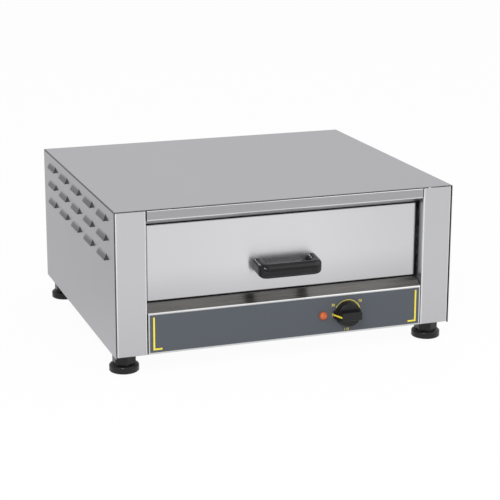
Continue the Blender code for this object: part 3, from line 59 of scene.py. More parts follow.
SHIFT = Matrix.Translation((0, -0.233, 0.0307))
HALF_WIDTH, DEPTH, HEIGHT = 0.2725, 0.472, 0.2245
SHEET, GAP = 0.001, 0.0003
HALF_OPENING, HALF_FRAME = 0.2235, 0.2222
STAND, FRAME_TOP = 0.002, 0.2232
SILL_TOP, RAIL_BOTTOM, RECESS = 0.0774, 0.198, 0.0186
FRONT_FACE, FRONT_REAR, FRONT_HALF = 0.017, 0.035, 0.2209
FRONT_BOTTOM, FRONT_TOP = 0.0793, 0.1966
DIAL_Z, KNOB_X, LAMP_X = 0.0336, 0.0977, 0.0569
print("cabinet", 2 * HALF_WIDTH, DEPTH, HEIGHT)

# %% [markdown]
# The camera stands where the photographer stood: to the left of the front and a little above,
# with a long lens, so that upright edges stay nearly parallel. The frame is moved a few hundredths
# of its width, which is what the off-centre picture needs.

# %% Camera
scene = bpy.context.scene
lens = bpy.data.cameras.new("camera")
lens.sensor_width = 36
lens.lens = 111.15
lens.shift_x, lens.shift_y = -0.006, -0.06
camera = bpy.data.objects.new("camera", lens)
scene.collection.objects.link(camera)
camera.location = (-0.8093, -2.3360, 0.8037)
camera.rotation_euler = (radians(75.505), radians(-0.193), radians(-19.608))
scene.camera = camera
scene.view_settings.view_transform = "Standard"
print("camera at", tuple(camera.location))

# %% [markdown]
# Every material is a small tree of nodes. Most start from the same pattern: noise in Object
# coordinates, pulled long in one direction by a Mapping node, because rolling, brushing and
# polishing all leave marks with a direction. A helper keeps each finish to a few lines.

# %% Helpers for materials
def new_material(name):
    made = bpy.data.materials.new(name)
    made.use_nodes = True
    nodes, links = made.node_tree.nodes, made.node_tree.links
    return made, nodes, links, nodes["Principled BSDF"]


def streaks(nodes, links, scale, detail=4.0, rough=0.55):
    """Noise in Object coordinates, stretched by a Mapping node's scale."""
    where = nodes.new("ShaderNodeTexCoord")
    mapping = nodes.new("ShaderNodeMapping")
    noise = nodes.new("ShaderNodeTexNoise")
    mapping.inputs["Scale"].default_value = scale
    noise.inputs["Scale"].default_value = 1.0
    noise.inputs["Detail"].default_value = detail
    noise.inputs["Roughness"].default_value = rough
    links.new(where.outputs["Object"], mapping.inputs["Vector"])
    links.new(mapping.outputs["Vector"], noise.inputs["Vector"])
    return noise.outputs["Fac"]


def ramp(nodes, links, source, low, high, start=0.3, end=0.7):
    """A colour between low and high, read from a pattern."""
    made = nodes.new("ShaderNodeValToRGB")
    made.color_ramp.elements[0].position, made.color_ramp.elements[0].color = start, (*low, 1)
    made.color_ramp.elements[1].position, made.color_ramp.elements[1].color = end, (*high, 1)
    links.new(source, made.inputs["Fac"])
    return made.outputs["Color"]


def spread(nodes, links, source, low, high):
    """A number between low and high, read from a pattern."""
    made = nodes.new("ShaderNodeMapRange")
    made.inputs["From Min"].default_value, made.inputs["From Max"].default_value = 0.3, 0.7
    made.inputs["To Min"].default_value, made.inputs["To Max"].default_value = low, high
    links.new(source, made.inputs["Value"])
    return made.outputs["Result"]


def bump(nodes, links, shader, source, strength, distance):
    made = nodes.new("ShaderNodeBump")
    made.inputs["Strength"].default_value = strength
    made.inputs["Distance"].default_value = distance
    links.new(source, made.inputs["Height"])
    links.new(made.outputs["Normal"], shader.inputs["Normal"])


print("pattern helpers ready")

# %% [markdown]
# Brushed sheet is the main finish here. Its grain stretches reflections across itself, so the
# shader is anisotropic, with one fixed grain direction for each piece. A fade is painted shade: a
# slow darkening of tone along an axis. It is no property of the steel: the drawer front has three
# of them, painted shade that makes it darker at its sides and lower edge than this studio alone
# makes it.

# %% Brushed sheet
def paint_shade_along(nodes, links, colour, axis, start, end, tone):
    """Painted shade: the same colour, multiplied by a tone that is reached smoothly along an axis."""
    where, split = nodes.new("ShaderNodeTexCoord"), nodes.new("ShaderNodeSeparateXYZ")
    made, mix = nodes.new("ShaderNodeMapRange"), nodes.new("ShaderNodeMix")
    made.interpolation_type = "SMOOTHSTEP"
    made.inputs["From Min"].default_value, made.inputs["From Max"].default_value = start, end
    mix.data_type, mix.blend_type = "RGBA", "MULTIPLY"
    mix.inputs["B"].default_value = (tone, tone, tone, 1)
    links.new(where.outputs["Object"], split.inputs["Vector"])
    links.new(split.outputs[axis], made.inputs["Value"])
    links.new(made.outputs["Result"], mix.inputs["Factor"])
    links.new(colour, mix.inputs["A"])
    return mix.outputs["Result"]


def brushed(name, dark, light, grain, roughness=(0.26, 0.36), strength=0.25, along=None,
            smear=0.8, painted_shades=()):
    """Brushed sheet: fine grain along one direction, and slow cloudy marks under it. The grain
    draws reflections out across itself, which the anisotropy gives. A fade is painted shade, a slow
    darkening of tone along an axis: (axis, start, end, tone at the end)."""
    made, nodes, links, shader = new_material(name)
    fine = streaks(nodes, links, grain, detail=6.0)
    clouds = streaks(nodes, links, (7, 7, 7), detail=2.0)
    mix = nodes.new("ShaderNodeMix")
    mix.inputs["Factor"].default_value = 0.35
    links.new(fine, mix.inputs["A"])
    links.new(clouds, mix.inputs["B"])
    colour = ramp(nodes, links, mix.outputs["Result"], dark, light)
    for axis, start, end, tone in painted_shades:
        colour = paint_shade_along(nodes, links, colour, axis, start, end, tone)
    links.new(colour, shader.inputs["Base Color"])
    links.new(spread(nodes, links, fine, *roughness), shader.inputs["Roughness"])
    shader.inputs["Metallic"].default_value = 1.0
    if along:
        way = nodes.new("ShaderNodeCombineXYZ")
        for axis, value in zip("XYZ", along):
            way.inputs[axis].default_value = value
        links.new(way.outputs["Vector"], shader.inputs["Tangent"])
        shader.inputs["Anisotropic"].default_value = smear
        shader.inputs["Anisotropic Rotation"].default_value = 0.25
    bump(nodes, links, shader, fine, strength, 0.00002)
    return made


print("brushed sheet ready")

# %% [markdown]
# The studio: a pale floor, which the camera sees as white with a soft shadow, and a pale sky.
# Metal has almost no colour of its own. It shows the room, so the room has a bright floor in
# front, a quieter one behind and a darker ceiling, as in a product photographer's tent.

# %% Floor
FLOOR_DEPTH, FLOOR_SIDE = (-0.90, 0.35, 1.00, 0.70), (0.25, 0.80, 1.0, 0.94)


def make_floor():
    shape = bmesh.new()
    bmesh.ops.create_grid(shape, x_segments=8, y_segments=8, size=6)
    mesh = bpy.data.meshes.new("floor")
    shape.to_mesh(mesh)
    shape.free()
    floor = bpy.data.objects.new("floor", mesh)
    scene.collection.objects.link(floor)
    made, nodes, links, shader = new_material("pale_floor")
    nodes.remove(shader)
    diffuse = nodes.new("ShaderNodeBsdfDiffuse")
    diffuse.inputs["Color"].default_value = (0.9, 0.9, 0.9, 1)
    white, shown = nodes.new("ShaderNodeEmission"), nodes.new("ShaderNodeMixShader")
    glossy_light, mirrored = nodes.new("ShaderNodeEmission"), nodes.new("ShaderNodeMixShader")
    shown.inputs["Fac"].default_value = 0.95
    links.new(diffuse.outputs["BSDF"], shown.inputs[1])
    links.new(white.outputs["Emission"], shown.inputs[2])
    path, either = nodes.new("ShaderNodeLightPath"), nodes.new("ShaderNodeMath")
    either.operation = "MAXIMUM"
    links.new(path.outputs["Is Glossy Ray"], either.inputs[0])
    links.new(path.outputs["Is Transmission Ray"], either.inputs[1])
    where, split = nodes.new("ShaderNodeTexCoord"), nodes.new("ShaderNodeSeparateXYZ")
    links.new(where.outputs["Object"], split.inputs["Vector"])
    product = nodes.new("ShaderNodeMath")
    product.operation = "MULTIPLY"
    for slot, axis, limits in ((0, "Y", FLOOR_DEPTH), (1, "X", FLOOR_SIDE)):
        fade = nodes.new("ShaderNodeMapRange")
        fade.interpolation_type = "SMOOTHSTEP"
        for socket, value in zip(("From Min", "From Max", "To Min", "To Max"), limits):
            fade.inputs[socket].default_value = value
        links.new(split.outputs[axis], fade.inputs["Value"])
        links.new(fade.outputs["Result"], product.inputs[slot])
    links.new(product.outputs["Value"], glossy_light.inputs["Strength"])
    not_camera, seen = nodes.new("ShaderNodeMixShader"), path.outputs["Is Camera Ray"]
    links.new(seen, not_camera.inputs["Fac"])
    links.new(diffuse.outputs["BSDF"], not_camera.inputs[1])
    links.new(shown.outputs["Shader"], not_camera.inputs[2])
    links.new(either.outputs["Value"], mirrored.inputs["Fac"])
    links.new(not_camera.outputs["Shader"], mirrored.inputs[1])
    links.new(glossy_light.outputs["Emission"], mirrored.inputs[2])
    links.new(mirrored.outputs["Shader"], nodes["Material Output"].inputs["Surface"])
    mesh.materials.append(made)


make_floor()
print("floor made")

# %% [markdown]
# The sky is white to the camera. To metal it is a room: a pale wall, a lighter ceiling, and a dull
# patch behind on the left, which is what the side of the cabinet and its louvres show. One ramp
# reads the height of a ray, another its side, and the two greys are multiplied.

# %% Sky
WALL_GREYS = (0.0, 0.62), (0.10, 0.66), (0.20, 0.86), (0.30, 1.00), (0.6, 1.00), (1.0, 0.95)
SIDE_GREYS = ((0.0, 0.85), (0.18, 0.75), (0.30, 0.42), (0.36, 0.42), (0.52, 0.76), (0.60, 0.86),
              (0.72, 0.86))


def make_sky():
    """A room for reflections, and plain white for the camera."""
    world = bpy.data.worlds.new("pale_sky")
    world.use_nodes = True
    scene.world = world
    nodes, links = world.node_tree.nodes, world.node_tree.links
    shown, room = nodes["Background"], nodes.new("ShaderNodeBackground")
    shown.inputs["Color"].default_value = (1, 1, 1, 1)
    where, split = nodes.new("ShaderNodeTexCoord"), nodes.new("ShaderNodeSeparateXYZ")
    links.new(where.outputs["Generated"], split.inputs["Vector"])
    height, side = nodes.new("ShaderNodeValToRGB"), nodes.new("ShaderNodeValToRGB")
    across = nodes.new("ShaderNodeMapRange")
    across.inputs["From Min"].default_value = -1
    links.new(split.outputs["X"], across.inputs["Value"])
    level, sideways = split.outputs["Z"], across.outputs["Result"]
    for made, source, stops in ((height, level, WALL_GREYS), (side, sideways, SIDE_GREYS)):
        while len(made.color_ramp.elements) < len(stops):
            made.color_ramp.elements.new(0.5)
        for element, (place, grey) in zip(made.color_ramp.elements, stops):
            element.position, element.color = place, (grey, grey, grey, 1)
        links.new(source, made.inputs["Fac"])
    both = nodes.new("ShaderNodeMix")
    both.data_type, both.blend_type = "RGBA", "MULTIPLY"
    both.inputs["Factor"].default_value = 1
    links.new(height.outputs["Color"], both.inputs["A"])
    links.new(side.outputs["Color"], both.inputs["B"])
    links.new(both.outputs["Result"], room.inputs["Color"])
    path, mixed = nodes.new("ShaderNodeLightPath"), nodes.new("ShaderNodeMixShader")
    links.new(path.outputs["Is Camera Ray"], mixed.inputs["Fac"])
    links.new(room.outputs["Background"], mixed.inputs[1])
    links.new(shown.outputs["Background"], mixed.inputs[2])
    links.new(mixed.outputs["Shader"], nodes["World Output"].inputs["Surface"])


make_sky()
print("sky made")

# %% Lamps
def lamp(name, place, target, power, size):
    light = bpy.data.lights.new(name, "AREA")
    light.energy, light.size = power, size
    made = bpy.data.objects.new(name, light)
    scene.collection.objects.link(made)
    made.location = place
    made.rotation_euler = (Vector(target) - Vector(place)).to_track_quat("-Z", "Y").to_euler()


lamp("upper_key", (-1.25, -1.75, 1.9), (0, 0, 0.1), 14, 0.35)
lamp("lower_key", (-0.80, -1.95, 1.6), (0, 0, 0.1), 12, 0.35)
lamp("fill_softbox", (1.8, -1.3, 1.6), (0, 0, 0.1), 14, 2.4)

# %% [markdown]
# A finished piece goes through one helper. It moves the mesh into place, marks sharp edges by
# angle, names the body that the piece moves with and hides the solid it stands for. Weighted
# normals keep wide flat faces flat right up to a rounded bend.

# %% Finish a piece
def piece(name, shape, look, body, *nodes, angle=30, slot=None, shift=SHIFT):
    bmesh.ops.transform(shape, matrix=shift, verts=shape.verts)
    mesh = bpy.data.meshes.new(name)
    shape.to_mesh(mesh)
    shape.free()
    mesh.shade_smooth()
    mesh.set_sharp_from_angle(angle=radians(angle))
    made = bpy.data.objects.new(name, mesh)
    scene.collection.objects.link(made)
    for each in look if isinstance(look, tuple) else (look,):
        mesh.materials.append(each)
    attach(made, body)
    if nodes:
        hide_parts(*nodes)
    flat = made.modifiers.new("flat faces", "WEIGHTED_NORMAL")
    flat.keep_sharp = True
    print(f"{name}: {len(mesh.polygons)} faces")
    return made


print("piece helper ready")

# %% [markdown]
# Most of the cabinet is folded from one-millimetre sheet. A fold is drawn the way a press brake
# makes it: a line of points becomes a strip, its corners are rounded, and only then does the
# strip get a wall, so that inner and outer radius stay one wall apart.

# %% Helpers for folded sheet
def is_round(edge, axis):
    """Whether an inner edge runs along an axis, as a fold does."""
    along = (edge.verts[1].co - edge.verts[0].co).normalized()
    return len(edge.link_faces) == 2 and abs(abs(along["XYZ".index(axis)]) - 1) < 0.001


def bevel(shape, edges, radius, segments):
    return bmesh.ops.bevel(shape, geom=edges, offset=radius, offset_type="OFFSET", affect="EDGES",
                           segments=segments, profile=0.5, material=-1)


def drawn_at(place):
    """How two numbers and one fixed place make a point, for each axis."""
    return {"X": lambda a, b: (place, a, b), "Y": lambda a, b: (a, place, b),
            "Z": lambda a, b: (a, b, place)}


def sheet_metal(path, axis, start, end, radius, outward, segments=5, thick=SHEET, rim=0.00015):
    """Fold a sheet: join the points, pull the line out along an axis, round the folds, then give
    the sheet its thickness on the side away from outward and break its cut edges."""
    shape = bmesh.new()
    corners = [shape.verts.new(drawn_at(start)[axis](*point)) for point in path]
    lines = [shape.edges.new(pair) for pair in zip(corners, corners[1:])]
    pulled = bmesh.ops.extrude_edge_only(shape, edges=lines)["geom"]
    way = Vector((0, 0, 0))
    way["XYZ".index(axis)] = end - start
    bmesh.ops.translate(shape, verts=[v for v in pulled if isinstance(v, bmesh.types.BMVert)], vec=way)
    # The rounded folds take the second finish; on the posts, rail and panel that is a pale painted highlight.
    for face in bevel(shape, [e for e in shape.edges if is_round(e, axis)], radius, segments)["faces"]:
        face.material_index = 1
    face_out(shape, outward)
    thicken(shape, thick, rim)
    return shape


def face_out(shape, outward):
    """Turn an open sheet so that its widest face looks along outward."""
    bmesh.ops.recalc_face_normals(shape, faces=shape.faces)
    best = max(shape.faces, key=lambda face: abs(face.normal.dot(Vector(outward))) * face.calc_area())
    if best.normal.dot(Vector(outward)) < 0:
        bmesh.ops.reverse_faces(shape, faces=shape.faces)


def thicken(shape, thick, rim=0.0):
    """Give an open sheet its wall with a Solidify modifier, and break its cut edges."""
    mesh = bpy.data.meshes.new("sheet")
    shape.to_mesh(mesh)
    helper = bpy.data.objects.new("sheet", mesh)
    scene.collection.objects.link(helper)
    wall = helper.modifiers.new("wall", "SOLIDIFY")
    wall.thickness, wall.offset, wall.use_even_offset = thick, -1, True
    if rim:
        edge = helper.modifiers.new("rim", "BEVEL")
        edge.width, edge.segments, edge.limit_method, edge.angle_limit = rim, 1, "ANGLE", radians(60)
    solid = bpy.data.meshes.new_from_object(helper.evaluated_get(bpy.context.evaluated_depsgraph_get()))
    shape.clear()
    shape.from_mesh(solid)
    bpy.data.objects.remove(helper)


print("sheet helpers ready")

# %% [markdown]
# Stainless sheet comes from the mill with a fine grain. On the cover the grain runs front to
# back, up on the posts, and across on the rail, panel and drawer. The real pieces are likely one
# steel. Here each has its own tone, darker or paler, set by measure so that it matches the
# photograph in this studio. For other light the tones may be set closer to each other.

# %% Sheet finishes
# The tones below are lit and shaded copies of one steel, so their differences are painted light and shade:
# the rail, sill, folds, flaps and webs are darker, painted shade, and the drawer and bends paler, painted
# light.
ACROSS, BACK, UP = (1, 0, 0), (0, 1, 0), (0, 0, 1)
cover_steel = brushed("cover_steel", (0.495, 0.490, 0.520), (0.510, 0.505, 0.537), (1400, 6, 1400),
                      roughness=(0.28, 0.34), strength=0.08, along=BACK)
post_steel = brushed("post_steel", (0.585, 0.582, 0.600), (0.600, 0.597, 0.615), (1200, 1200, 6),
                     roughness=(0.28, 0.34), strength=0.08, along=UP)
# Painted shade: the rail's steel is a darker copy of the posts' steel.
shaded_rail_steel = brushed("shaded_rail_steel", (0.405, 0.401, 0.420), (0.440, 0.436, 0.456), (6, 1200, 1200),
                     strength=0.12, along=ACROSS)
panel_steel = brushed("panel_steel", (0.620, 0.620, 0.620), (0.660, 0.660, 0.660), (6, 1200, 1200),
                      strength=0.12, along=ACROSS)
# Painted shade: the sill's steel is a much darker copy of the panel's steel.
shaded_sill_steel = brushed("shaded_sill_steel", (0.190, 0.187, 0.175), (0.255, 0.252, 0.238), (9, 300, 300),
                     roughness=(0.26, 0.32), along=ACROSS, smear=0.6)
# Painted light and shade: the drawer's steel is a paler copy of the posts' steel, and its fades add painted
# shade at its sides and lower edge.
lit_shaded_drawer_steel = brushed("lit_shaded_drawer_steel", (0.715, 0.712, 0.730), (0.735, 0.731, 0.751), (8, 1600, 1600),
                       roughness=(0.20, 0.23), strength=0.08, along=ACROSS, smear=0.9,
                       painted_shades=(("X", 0.02, 0.22, 0.91), ("X", -0.05, -0.20, 0.94), ("Z", 0.165, 0.105, 0.84)))
# Painted shade: the fold steel is a dark copy of the cover's steel, for the cover's folds and front cut
# edges.
shaded_fold_steel = brushed("shaded_fold_steel", (0.20, 0.20, 0.21), (0.25, 0.25, 0.26), (60, 60, 60), strength=0.1)
# Painted shade: the flap steel is a darker copy of the cover's steel.
shaded_flap_steel = brushed("shaded_flap_steel", (0.39, 0.387, 0.407), (0.45, 0.446, 0.469), (300, 6, 300), strength=0.1)
# Painted shade: the web steel is an almost black copy of the cover's steel.
shaded_web_steel = brushed("shaded_web_steel", (0.05, 0.05, 0.053), (0.08, 0.08, 0.084), (400, 400, 400), (0.4, 0.5), 0.1)
# Painted highlight: the bend steel is a pale copy of the frame's steel, for the bright lines along the folds.
bend_highlight_steel = brushed("bend_highlight_steel", (0.80, 0.80, 0.81), (0.88, 0.88, 0.89), (60, 60, 60), strength=0.1)
tray_steel = brushed("tray_steel", (0.52, 0.52, 0.53), (0.60, 0.60, 0.61), (300, 6, 300), along=BACK)
print("sheet finishes made")

# %% [markdown]
# The outer cover is one sheet wrapped over the top and both sides. Its louvres are cut and
# pushed outwards in one press stroke, so each flap is part of the sheet. Each front end shows a
# dark triangle, too small to tell an open end from a closed one. Here a web closes both ends, and
# the front one is painted almost black, painted shade that gives that triangle; the flaps are
# painted darker than the sheet, painted shade too. Cuts in the mesh mark the openings, their
# faces go, and new ones make flap and webs.

# %% Louvres
LOUVRE_FRONTS = [0.0465 + 0.084 * k for k in range(5)]
LOUVRE_HINGES = [HEIGHT - 0.013 - 0.030 * k for k in range(3)]
LOUVRE_LENGTH, LOUVRE_DROP, LOUVRE_LIFT = 0.040, 0.0100, 0.0048
WEB_LENGTH, WEB_DROP, LIP_FLARE, FOLD_RADIUS = 0.018, 0.0055, 0.003, 0.002


def slice_at(shape, axis, place):
    """Cut the mesh on a plane square to an axis, without taking anything away."""
    normal = Vector((0, 0, 0))
    normal["XYZ".index(axis)] = 1
    bmesh.ops.bisect_plane(shape, geom=shape.verts[:] + shape.edges[:] + shape.faces[:], dist=1e-6,
                           plane_co=normal * place, plane_no=normal)


def in_louvre(face):
    middle = face.calc_center_median()
    return (abs(abs(middle.x) - HALF_WIDTH) < 1e-4
            and any(abs(middle.y - front - LOUVRE_LENGTH / 2) < LOUVRE_LENGTH / 2 + WEB_LENGTH
                    for front in LOUVRE_FRONTS)
            and any(hinge - LOUVRE_DROP < middle.z < hinge for hinge in LOUVRE_HINGES))


def make_louvre(shape, side, front, hinge):
    """Fill one opening: a flap that leans out, and a web that closes each end of it."""
    def nearest(y, z):
        return min(shape.verts, key=lambda v: (v.co - Vector((side * HALF_WIDTH, y, z))).length)

    rows, rear = [], front + LOUVRE_LENGTH
    ends = nearest(front, hinge), nearest(rear, hinge)
    tops = nearest(front - WEB_LENGTH, hinge), nearest(rear + WEB_LENGTH, hinge)
    low = hinge - LOUVRE_DROP
    tips = nearest(front - WEB_LENGTH, low), nearest(rear + WEB_LENGTH, low)
    for share in (0.3, 0.55, 0.8, 1.0):
        x = side * (HALF_WIDTH + LOUVRE_LIFT * share ** 1.15)
        rows.append([shape.verts.new((x, y, hinge - LOUVRE_DROP * share))
                     for y in (front - LIP_FLARE * share, rear + LIP_FLARE * share)])
    for k in (0, 1):
        tips[k].co.z = hinge - WEB_DROP
        shape.faces.new((tops[k], ends[k], tips[k]))
        for upper, lower in zip([ends] + rows, rows):
            # The front web takes the almost black web steel, painted shade; the rear web keeps the cover's
            # steel.
            shape.faces.new((upper[k], lower[k], tips[k])).material_index = 3 if k == 0 else 0
    # The flaps take the darker flap steel, painted shade.
    for upper, lower in zip([ends] + rows, rows):
        shape.faces.new((upper[0], upper[1], lower[1], lower[0])).material_index = 2


print("louvres on each side:", len(LOUVRE_FRONTS) * len(LOUVRE_HINGES))

# %% Outer cover
def make_cover():
    shape = bmesh.new()
    path = [(-HALF_WIDTH, 0), (-HALF_WIDTH, HEIGHT), (HALF_WIDTH, HEIGHT), (HALF_WIDTH, 0)]
    corners = [shape.verts.new((x, 0, z)) for x, z in path]
    lines = [shape.edges.new(pair) for pair in zip(corners, corners[1:])]
    pulled = bmesh.ops.extrude_edge_only(shape, edges=lines)["geom"]
    bmesh.ops.translate(shape, verts=[v for v in pulled if isinstance(v, bmesh.types.BMVert)],
                        vec=(0, DEPTH, 0))
    # The rounded folds take the dark fold steel, painted shade.
    for face in bevel(shape, [e for e in shape.edges if is_round(e, "Y")], FOLD_RADIUS, 6)["faces"]:
        face.material_index = 1
    for front in LOUVRE_FRONTS:
        rear = front + LOUVRE_LENGTH
        for place in (front - WEB_LENGTH, front, rear, rear + WEB_LENGTH):
            slice_at(shape, "Y", place)
    for hinge in LOUVRE_HINGES:
        slice_at(shape, "Z", hinge)
        slice_at(shape, "Z", hinge - LOUVRE_DROP)
    bmesh.ops.delete(shape, geom=[face for face in shape.faces if in_louvre(face)], context="FACES")
    for side in (-1, 1):
        for front in LOUVRE_FRONTS:
            for hinge in LOUVRE_HINGES:
                make_louvre(shape, side, front, hinge)
    bmesh.ops.recalc_face_normals(shape, faces=shape.faces)
    face_out(shape, (0, 0, 1))
    thicken(shape, SHEET, 0.00012)
    # The front cut edges take the dark fold steel too: painted shade for the dark line between cover and
    # frame.
    for face in shape.faces:
        if face.normal.y < -0.6 and face.calc_center_median().y < SHEET:
            face.material_index = 1
    frame_shape = rear_return()
    mesh = bpy.data.meshes.new("rear_return")
    frame_shape.to_mesh(mesh)
    frame_shape.free()
    shape.from_mesh(mesh)
    return shape


def rear_return():
    """The frame turned in at the rear of the cover: one flat shape, given its thickness."""
    side, top, low = HALF_WIDTH - SHEET * 0.75, HEIGHT - SHEET * 0.75, 0.0017
    inner, under = HALF_WIDTH - SHEET - 0.014, HEIGHT - SHEET - 0.014
    shape = bmesh.new()
    outline = [(-side, low), (-side, top), (side, top), (side, low), (inner, low), (inner, under),
               (-inner, under), (-inner, low)]
    face = shape.faces.new([shape.verts.new((x, DEPTH, z)) for x, z in outline])
    drawn = bmesh.ops.extrude_face_region(shape, geom=[face])["geom"]
    bmesh.ops.translate(shape, verts=[v for v in drawn if isinstance(v, bmesh.types.BMVert)],
                        vec=(0, -SHEET, 0))
    bmesh.ops.recalc_face_normals(shape, faces=shape.faces)
    return shape


cover_looks = cover_steel, shaded_fold_steel, shaded_flap_steel, shaded_web_steel
piece("cover_skin", make_cover(), cover_looks, "cabinet", "outer_cover", slot="brushed_stainless")

# %% [markdown]
# The front frame is four folded pieces: two posts, a top rail whose lower part leans back over
# the drawer, and the control panel with its sloping sill. Each starts as a line of a few points,
# which is pulled into a sheet, rounded at its folds and thickened.

# %% Posts, rail and control panel
POST_OUTSIDE, SEEN_TOP, POST_RADIUS, FOLD_OF_FRAME = 0.2706, 0.2226, 0.0021, 0.0012


def make_post(side):
    path = [(side * HALF_OPENING, 0.014), (side * HALF_OPENING, 0), (side * POST_OUTSIDE, 0),
            (side * POST_OUTSIDE, 0.022)]
    return sheet_metal(path, "Z", STAND, SEEN_TOP, POST_RADIUS, (0, -1, 0), segments=6,
                       rim=0.0004)


for side, hand in ((-1, "left"), (1, "right")):
    piece(hand + "_post_skin", make_post(side), (post_steel, bend_highlight_steel), "cabinet", hand + "_post",
          slot="brushed_stainless")

rail_path = [(0.012, SEEN_TOP), (0, SEEN_TOP), (0, 0.2077), (RECESS, RAIL_BOTTOM), (RECESS, 0.206)]
piece("rail_skin", sheet_metal(rail_path, "X", -HALF_FRAME, HALF_FRAME, FOLD_OF_FRAME, (0, -1, 0)),
      (shaded_rail_steel, bend_highlight_steel), "cabinet", "top_rail", slot="brushed_stainless")

panel_path = [(0.014, STAND), (0, STAND), (0, 0.065), (RECESS, SILL_TOP), (RECESS, 0.0674)]
panel = sheet_metal(panel_path, "X", -HALF_FRAME, HALF_FRAME, FOLD_OF_FRAME, (0, -1, 0))
# The sloping sill faces take the darker sill steel, painted shade.
for face in panel.faces:
    if face.normal.z > 0.3 and face.normal.y < -0.3 and face.material_index == 0:
        face.material_index = 2
piece("panel_skin", panel, (panel_steel, bend_highlight_steel, shaded_sill_steel), "cabinet", "control_panel",
      slot="brushed_stainless")

# %% [markdown]
# The drawer front is a shallow pan folded from sheet: a flat face, rounded upright edges and
# tighter folds along its top and bottom. It starts as a box, loses its rear face, and its edges
# are rounded in two passes before the wall gets its thickness.

# %% Drawer front
def box(low, high):
    shape = bmesh.new()
    size = [b - a for a, b in zip(low, high)]
    middle = [(a + b) / 2 for a, b in zip(low, high)]
    bmesh.ops.create_cube(shape, size=1, matrix=Matrix.Translation(middle) @ Matrix.Diagonal((*size, 1)))
    bmesh.ops.recalc_face_normals(shape, faces=shape.faces)
    return shape


def is_level(edge):
    return abs(edge.verts[0].co.z - edge.verts[1].co.z) < 1e-5


UPRIGHT_RADIUS, LEVEL_RADIUS = 0.005, 0.0015


def make_drawer_front():
    shape = box((-FRONT_HALF, FRONT_FACE, FRONT_BOTTOM), (FRONT_HALF, FRONT_REAR, FRONT_TOP))
    bmesh.ops.delete(shape, geom=[f for f in shape.faces if f.normal.y > 0.9], context="FACES")
    inner = [e for e in shape.edges if not e.is_boundary]
    bevel(shape, [e for e in inner if not is_level(e)], UPRIGHT_RADIUS, 10)
    bevel(shape, [e for e in shape.edges if not e.is_boundary and is_level(e)], LEVEL_RADIUS, 4)
    face_out(shape, (0, -1, 0))
    thicken(shape, SHEET)
    return shape


piece("drawer_skin", make_drawer_front(), lit_shaded_drawer_steel, "drawer", "drawer_front",
      slot="brushed_stainless", angle=40)

# %% [markdown]
# The handle is a glossy black moulding: a bar with two arms that reach back to the drawer, bent
# a little downwards. Its plan, seen from above, is drawn as one face and pushed up to its height.
# The upright edges are rounded first, then every rim, and last the bar is let down.

# %% Handle
HANDLE_HALF, HANDLE_ARM, HANDLE_BAR = 0.05125, 0.0145, 0.014
HANDLE_Z, HANDLE_TALL, HANDLE_BASE = 0.1198, 0.022, FRONT_FACE - GAP
HANDLE_FRONT, HANDLE_DROP, HANDLE_BULGE = FRONT_FACE - 0.035, 0.0045, 0.006
HANDLE_CORNER, HANDLE_CROOK, HANDLE_RIM = 0.015, 0.0072, 0.0066


def gloss(name, dark, light, roughness, scale=60, strength=0.05, specular=0.5, coat=0.0):
    """Moulded plastic: an even colour with faint flow marks and a little bump."""
    made, nodes, links, shader = new_material(name)
    marks = streaks(nodes, links, (scale, scale, scale), detail=5.0)
    links.new(ramp(nodes, links, marks, dark, light), shader.inputs["Base Color"])
    links.new(spread(nodes, links, marks, *roughness), shader.inputs["Roughness"])
    shader.inputs["Specular IOR Level"].default_value = specular
    shader.inputs["Coat Weight"].default_value = coat
    shader.inputs["Coat Roughness"].default_value = 0.05
    bump(nodes, links, shader, marks, strength, 0.0002)
    return made


def plate(outline, axis, start, end):
    """One face drawn from its outline, pushed out to a thickness."""
    shape = bmesh.new()
    face = shape.faces.new([shape.verts.new(drawn_at(start)[axis](*point)) for point in outline])
    drawn = bmesh.ops.extrude_face_region(shape, geom=[face])["geom"]
    way = Vector((0, 0, 0))
    way["XYZ".index(axis)] = end - start
    bmesh.ops.translate(shape, verts=[v for v in drawn if isinstance(v, bmesh.types.BMVert)], vec=way)
    bmesh.ops.recalc_face_normals(shape, faces=shape.faces)
    return shape


def make_handle():
    low, high = HANDLE_Z - HANDLE_TALL / 2, HANDLE_Z + HANDLE_TALL / 2
    inner, crook = HANDLE_HALF - HANDLE_ARM, HANDLE_FRONT + HANDLE_BAR
    plan = [(-HANDLE_HALF, HANDLE_BASE), (-HANDLE_HALF, HANDLE_FRONT), (HANDLE_HALF, HANDLE_FRONT),
            (HANDLE_HALF, HANDLE_BASE), (inner, HANDLE_BASE), (inner, crook), (-inner, crook),
            (-inner, HANDLE_BASE)]
    shape = plate(plan, "Z", low, high)
    for place, radius, steps in ((HANDLE_FRONT, HANDLE_CORNER, 16), (crook, HANDLE_CROOK, 12)):
        bevel(shape, [e for e in shape.edges if not is_level(e) and abs(e.verts[0].co.y - place) < 1e-6],
              radius, steps)
    rims = [e for e in shape.edges if is_level(e) and e.calc_face_angle(0) > 1
            and not all(v.co.y > HANDLE_BASE - GAP for v in e.verts)]
    bevel(shape, rims, HANDLE_RIM, 10)
    for step in range(-3, 4):
        slice_at(shape, "Z", HANDLE_Z + step * 0.0011)
    for vert in shape.verts:
        share = max(0.0, (0.6 * crook + 0.4 * HANDLE_FRONT - vert.co.y) / (crook - HANDLE_FRONT))
        vert.co.y += HANDLE_BULGE * share * ((vert.co.z - HANDLE_Z) / (HANDLE_TALL / 2)) ** 2
        vert.co.z -= HANDLE_DROP * (HANDLE_BASE - vert.co.y) / (HANDLE_BASE - HANDLE_FRONT)
    return shape


handle_black = gloss("handle_black", (0.006, 0.0055, 0.0065), (0.010, 0.0095, 0.011), (0.07, 0.11),
                     specular=0.32)
piece("grab_handle", make_handle(), handle_black, "drawer", "handle", slot="black_gloss", angle=50)

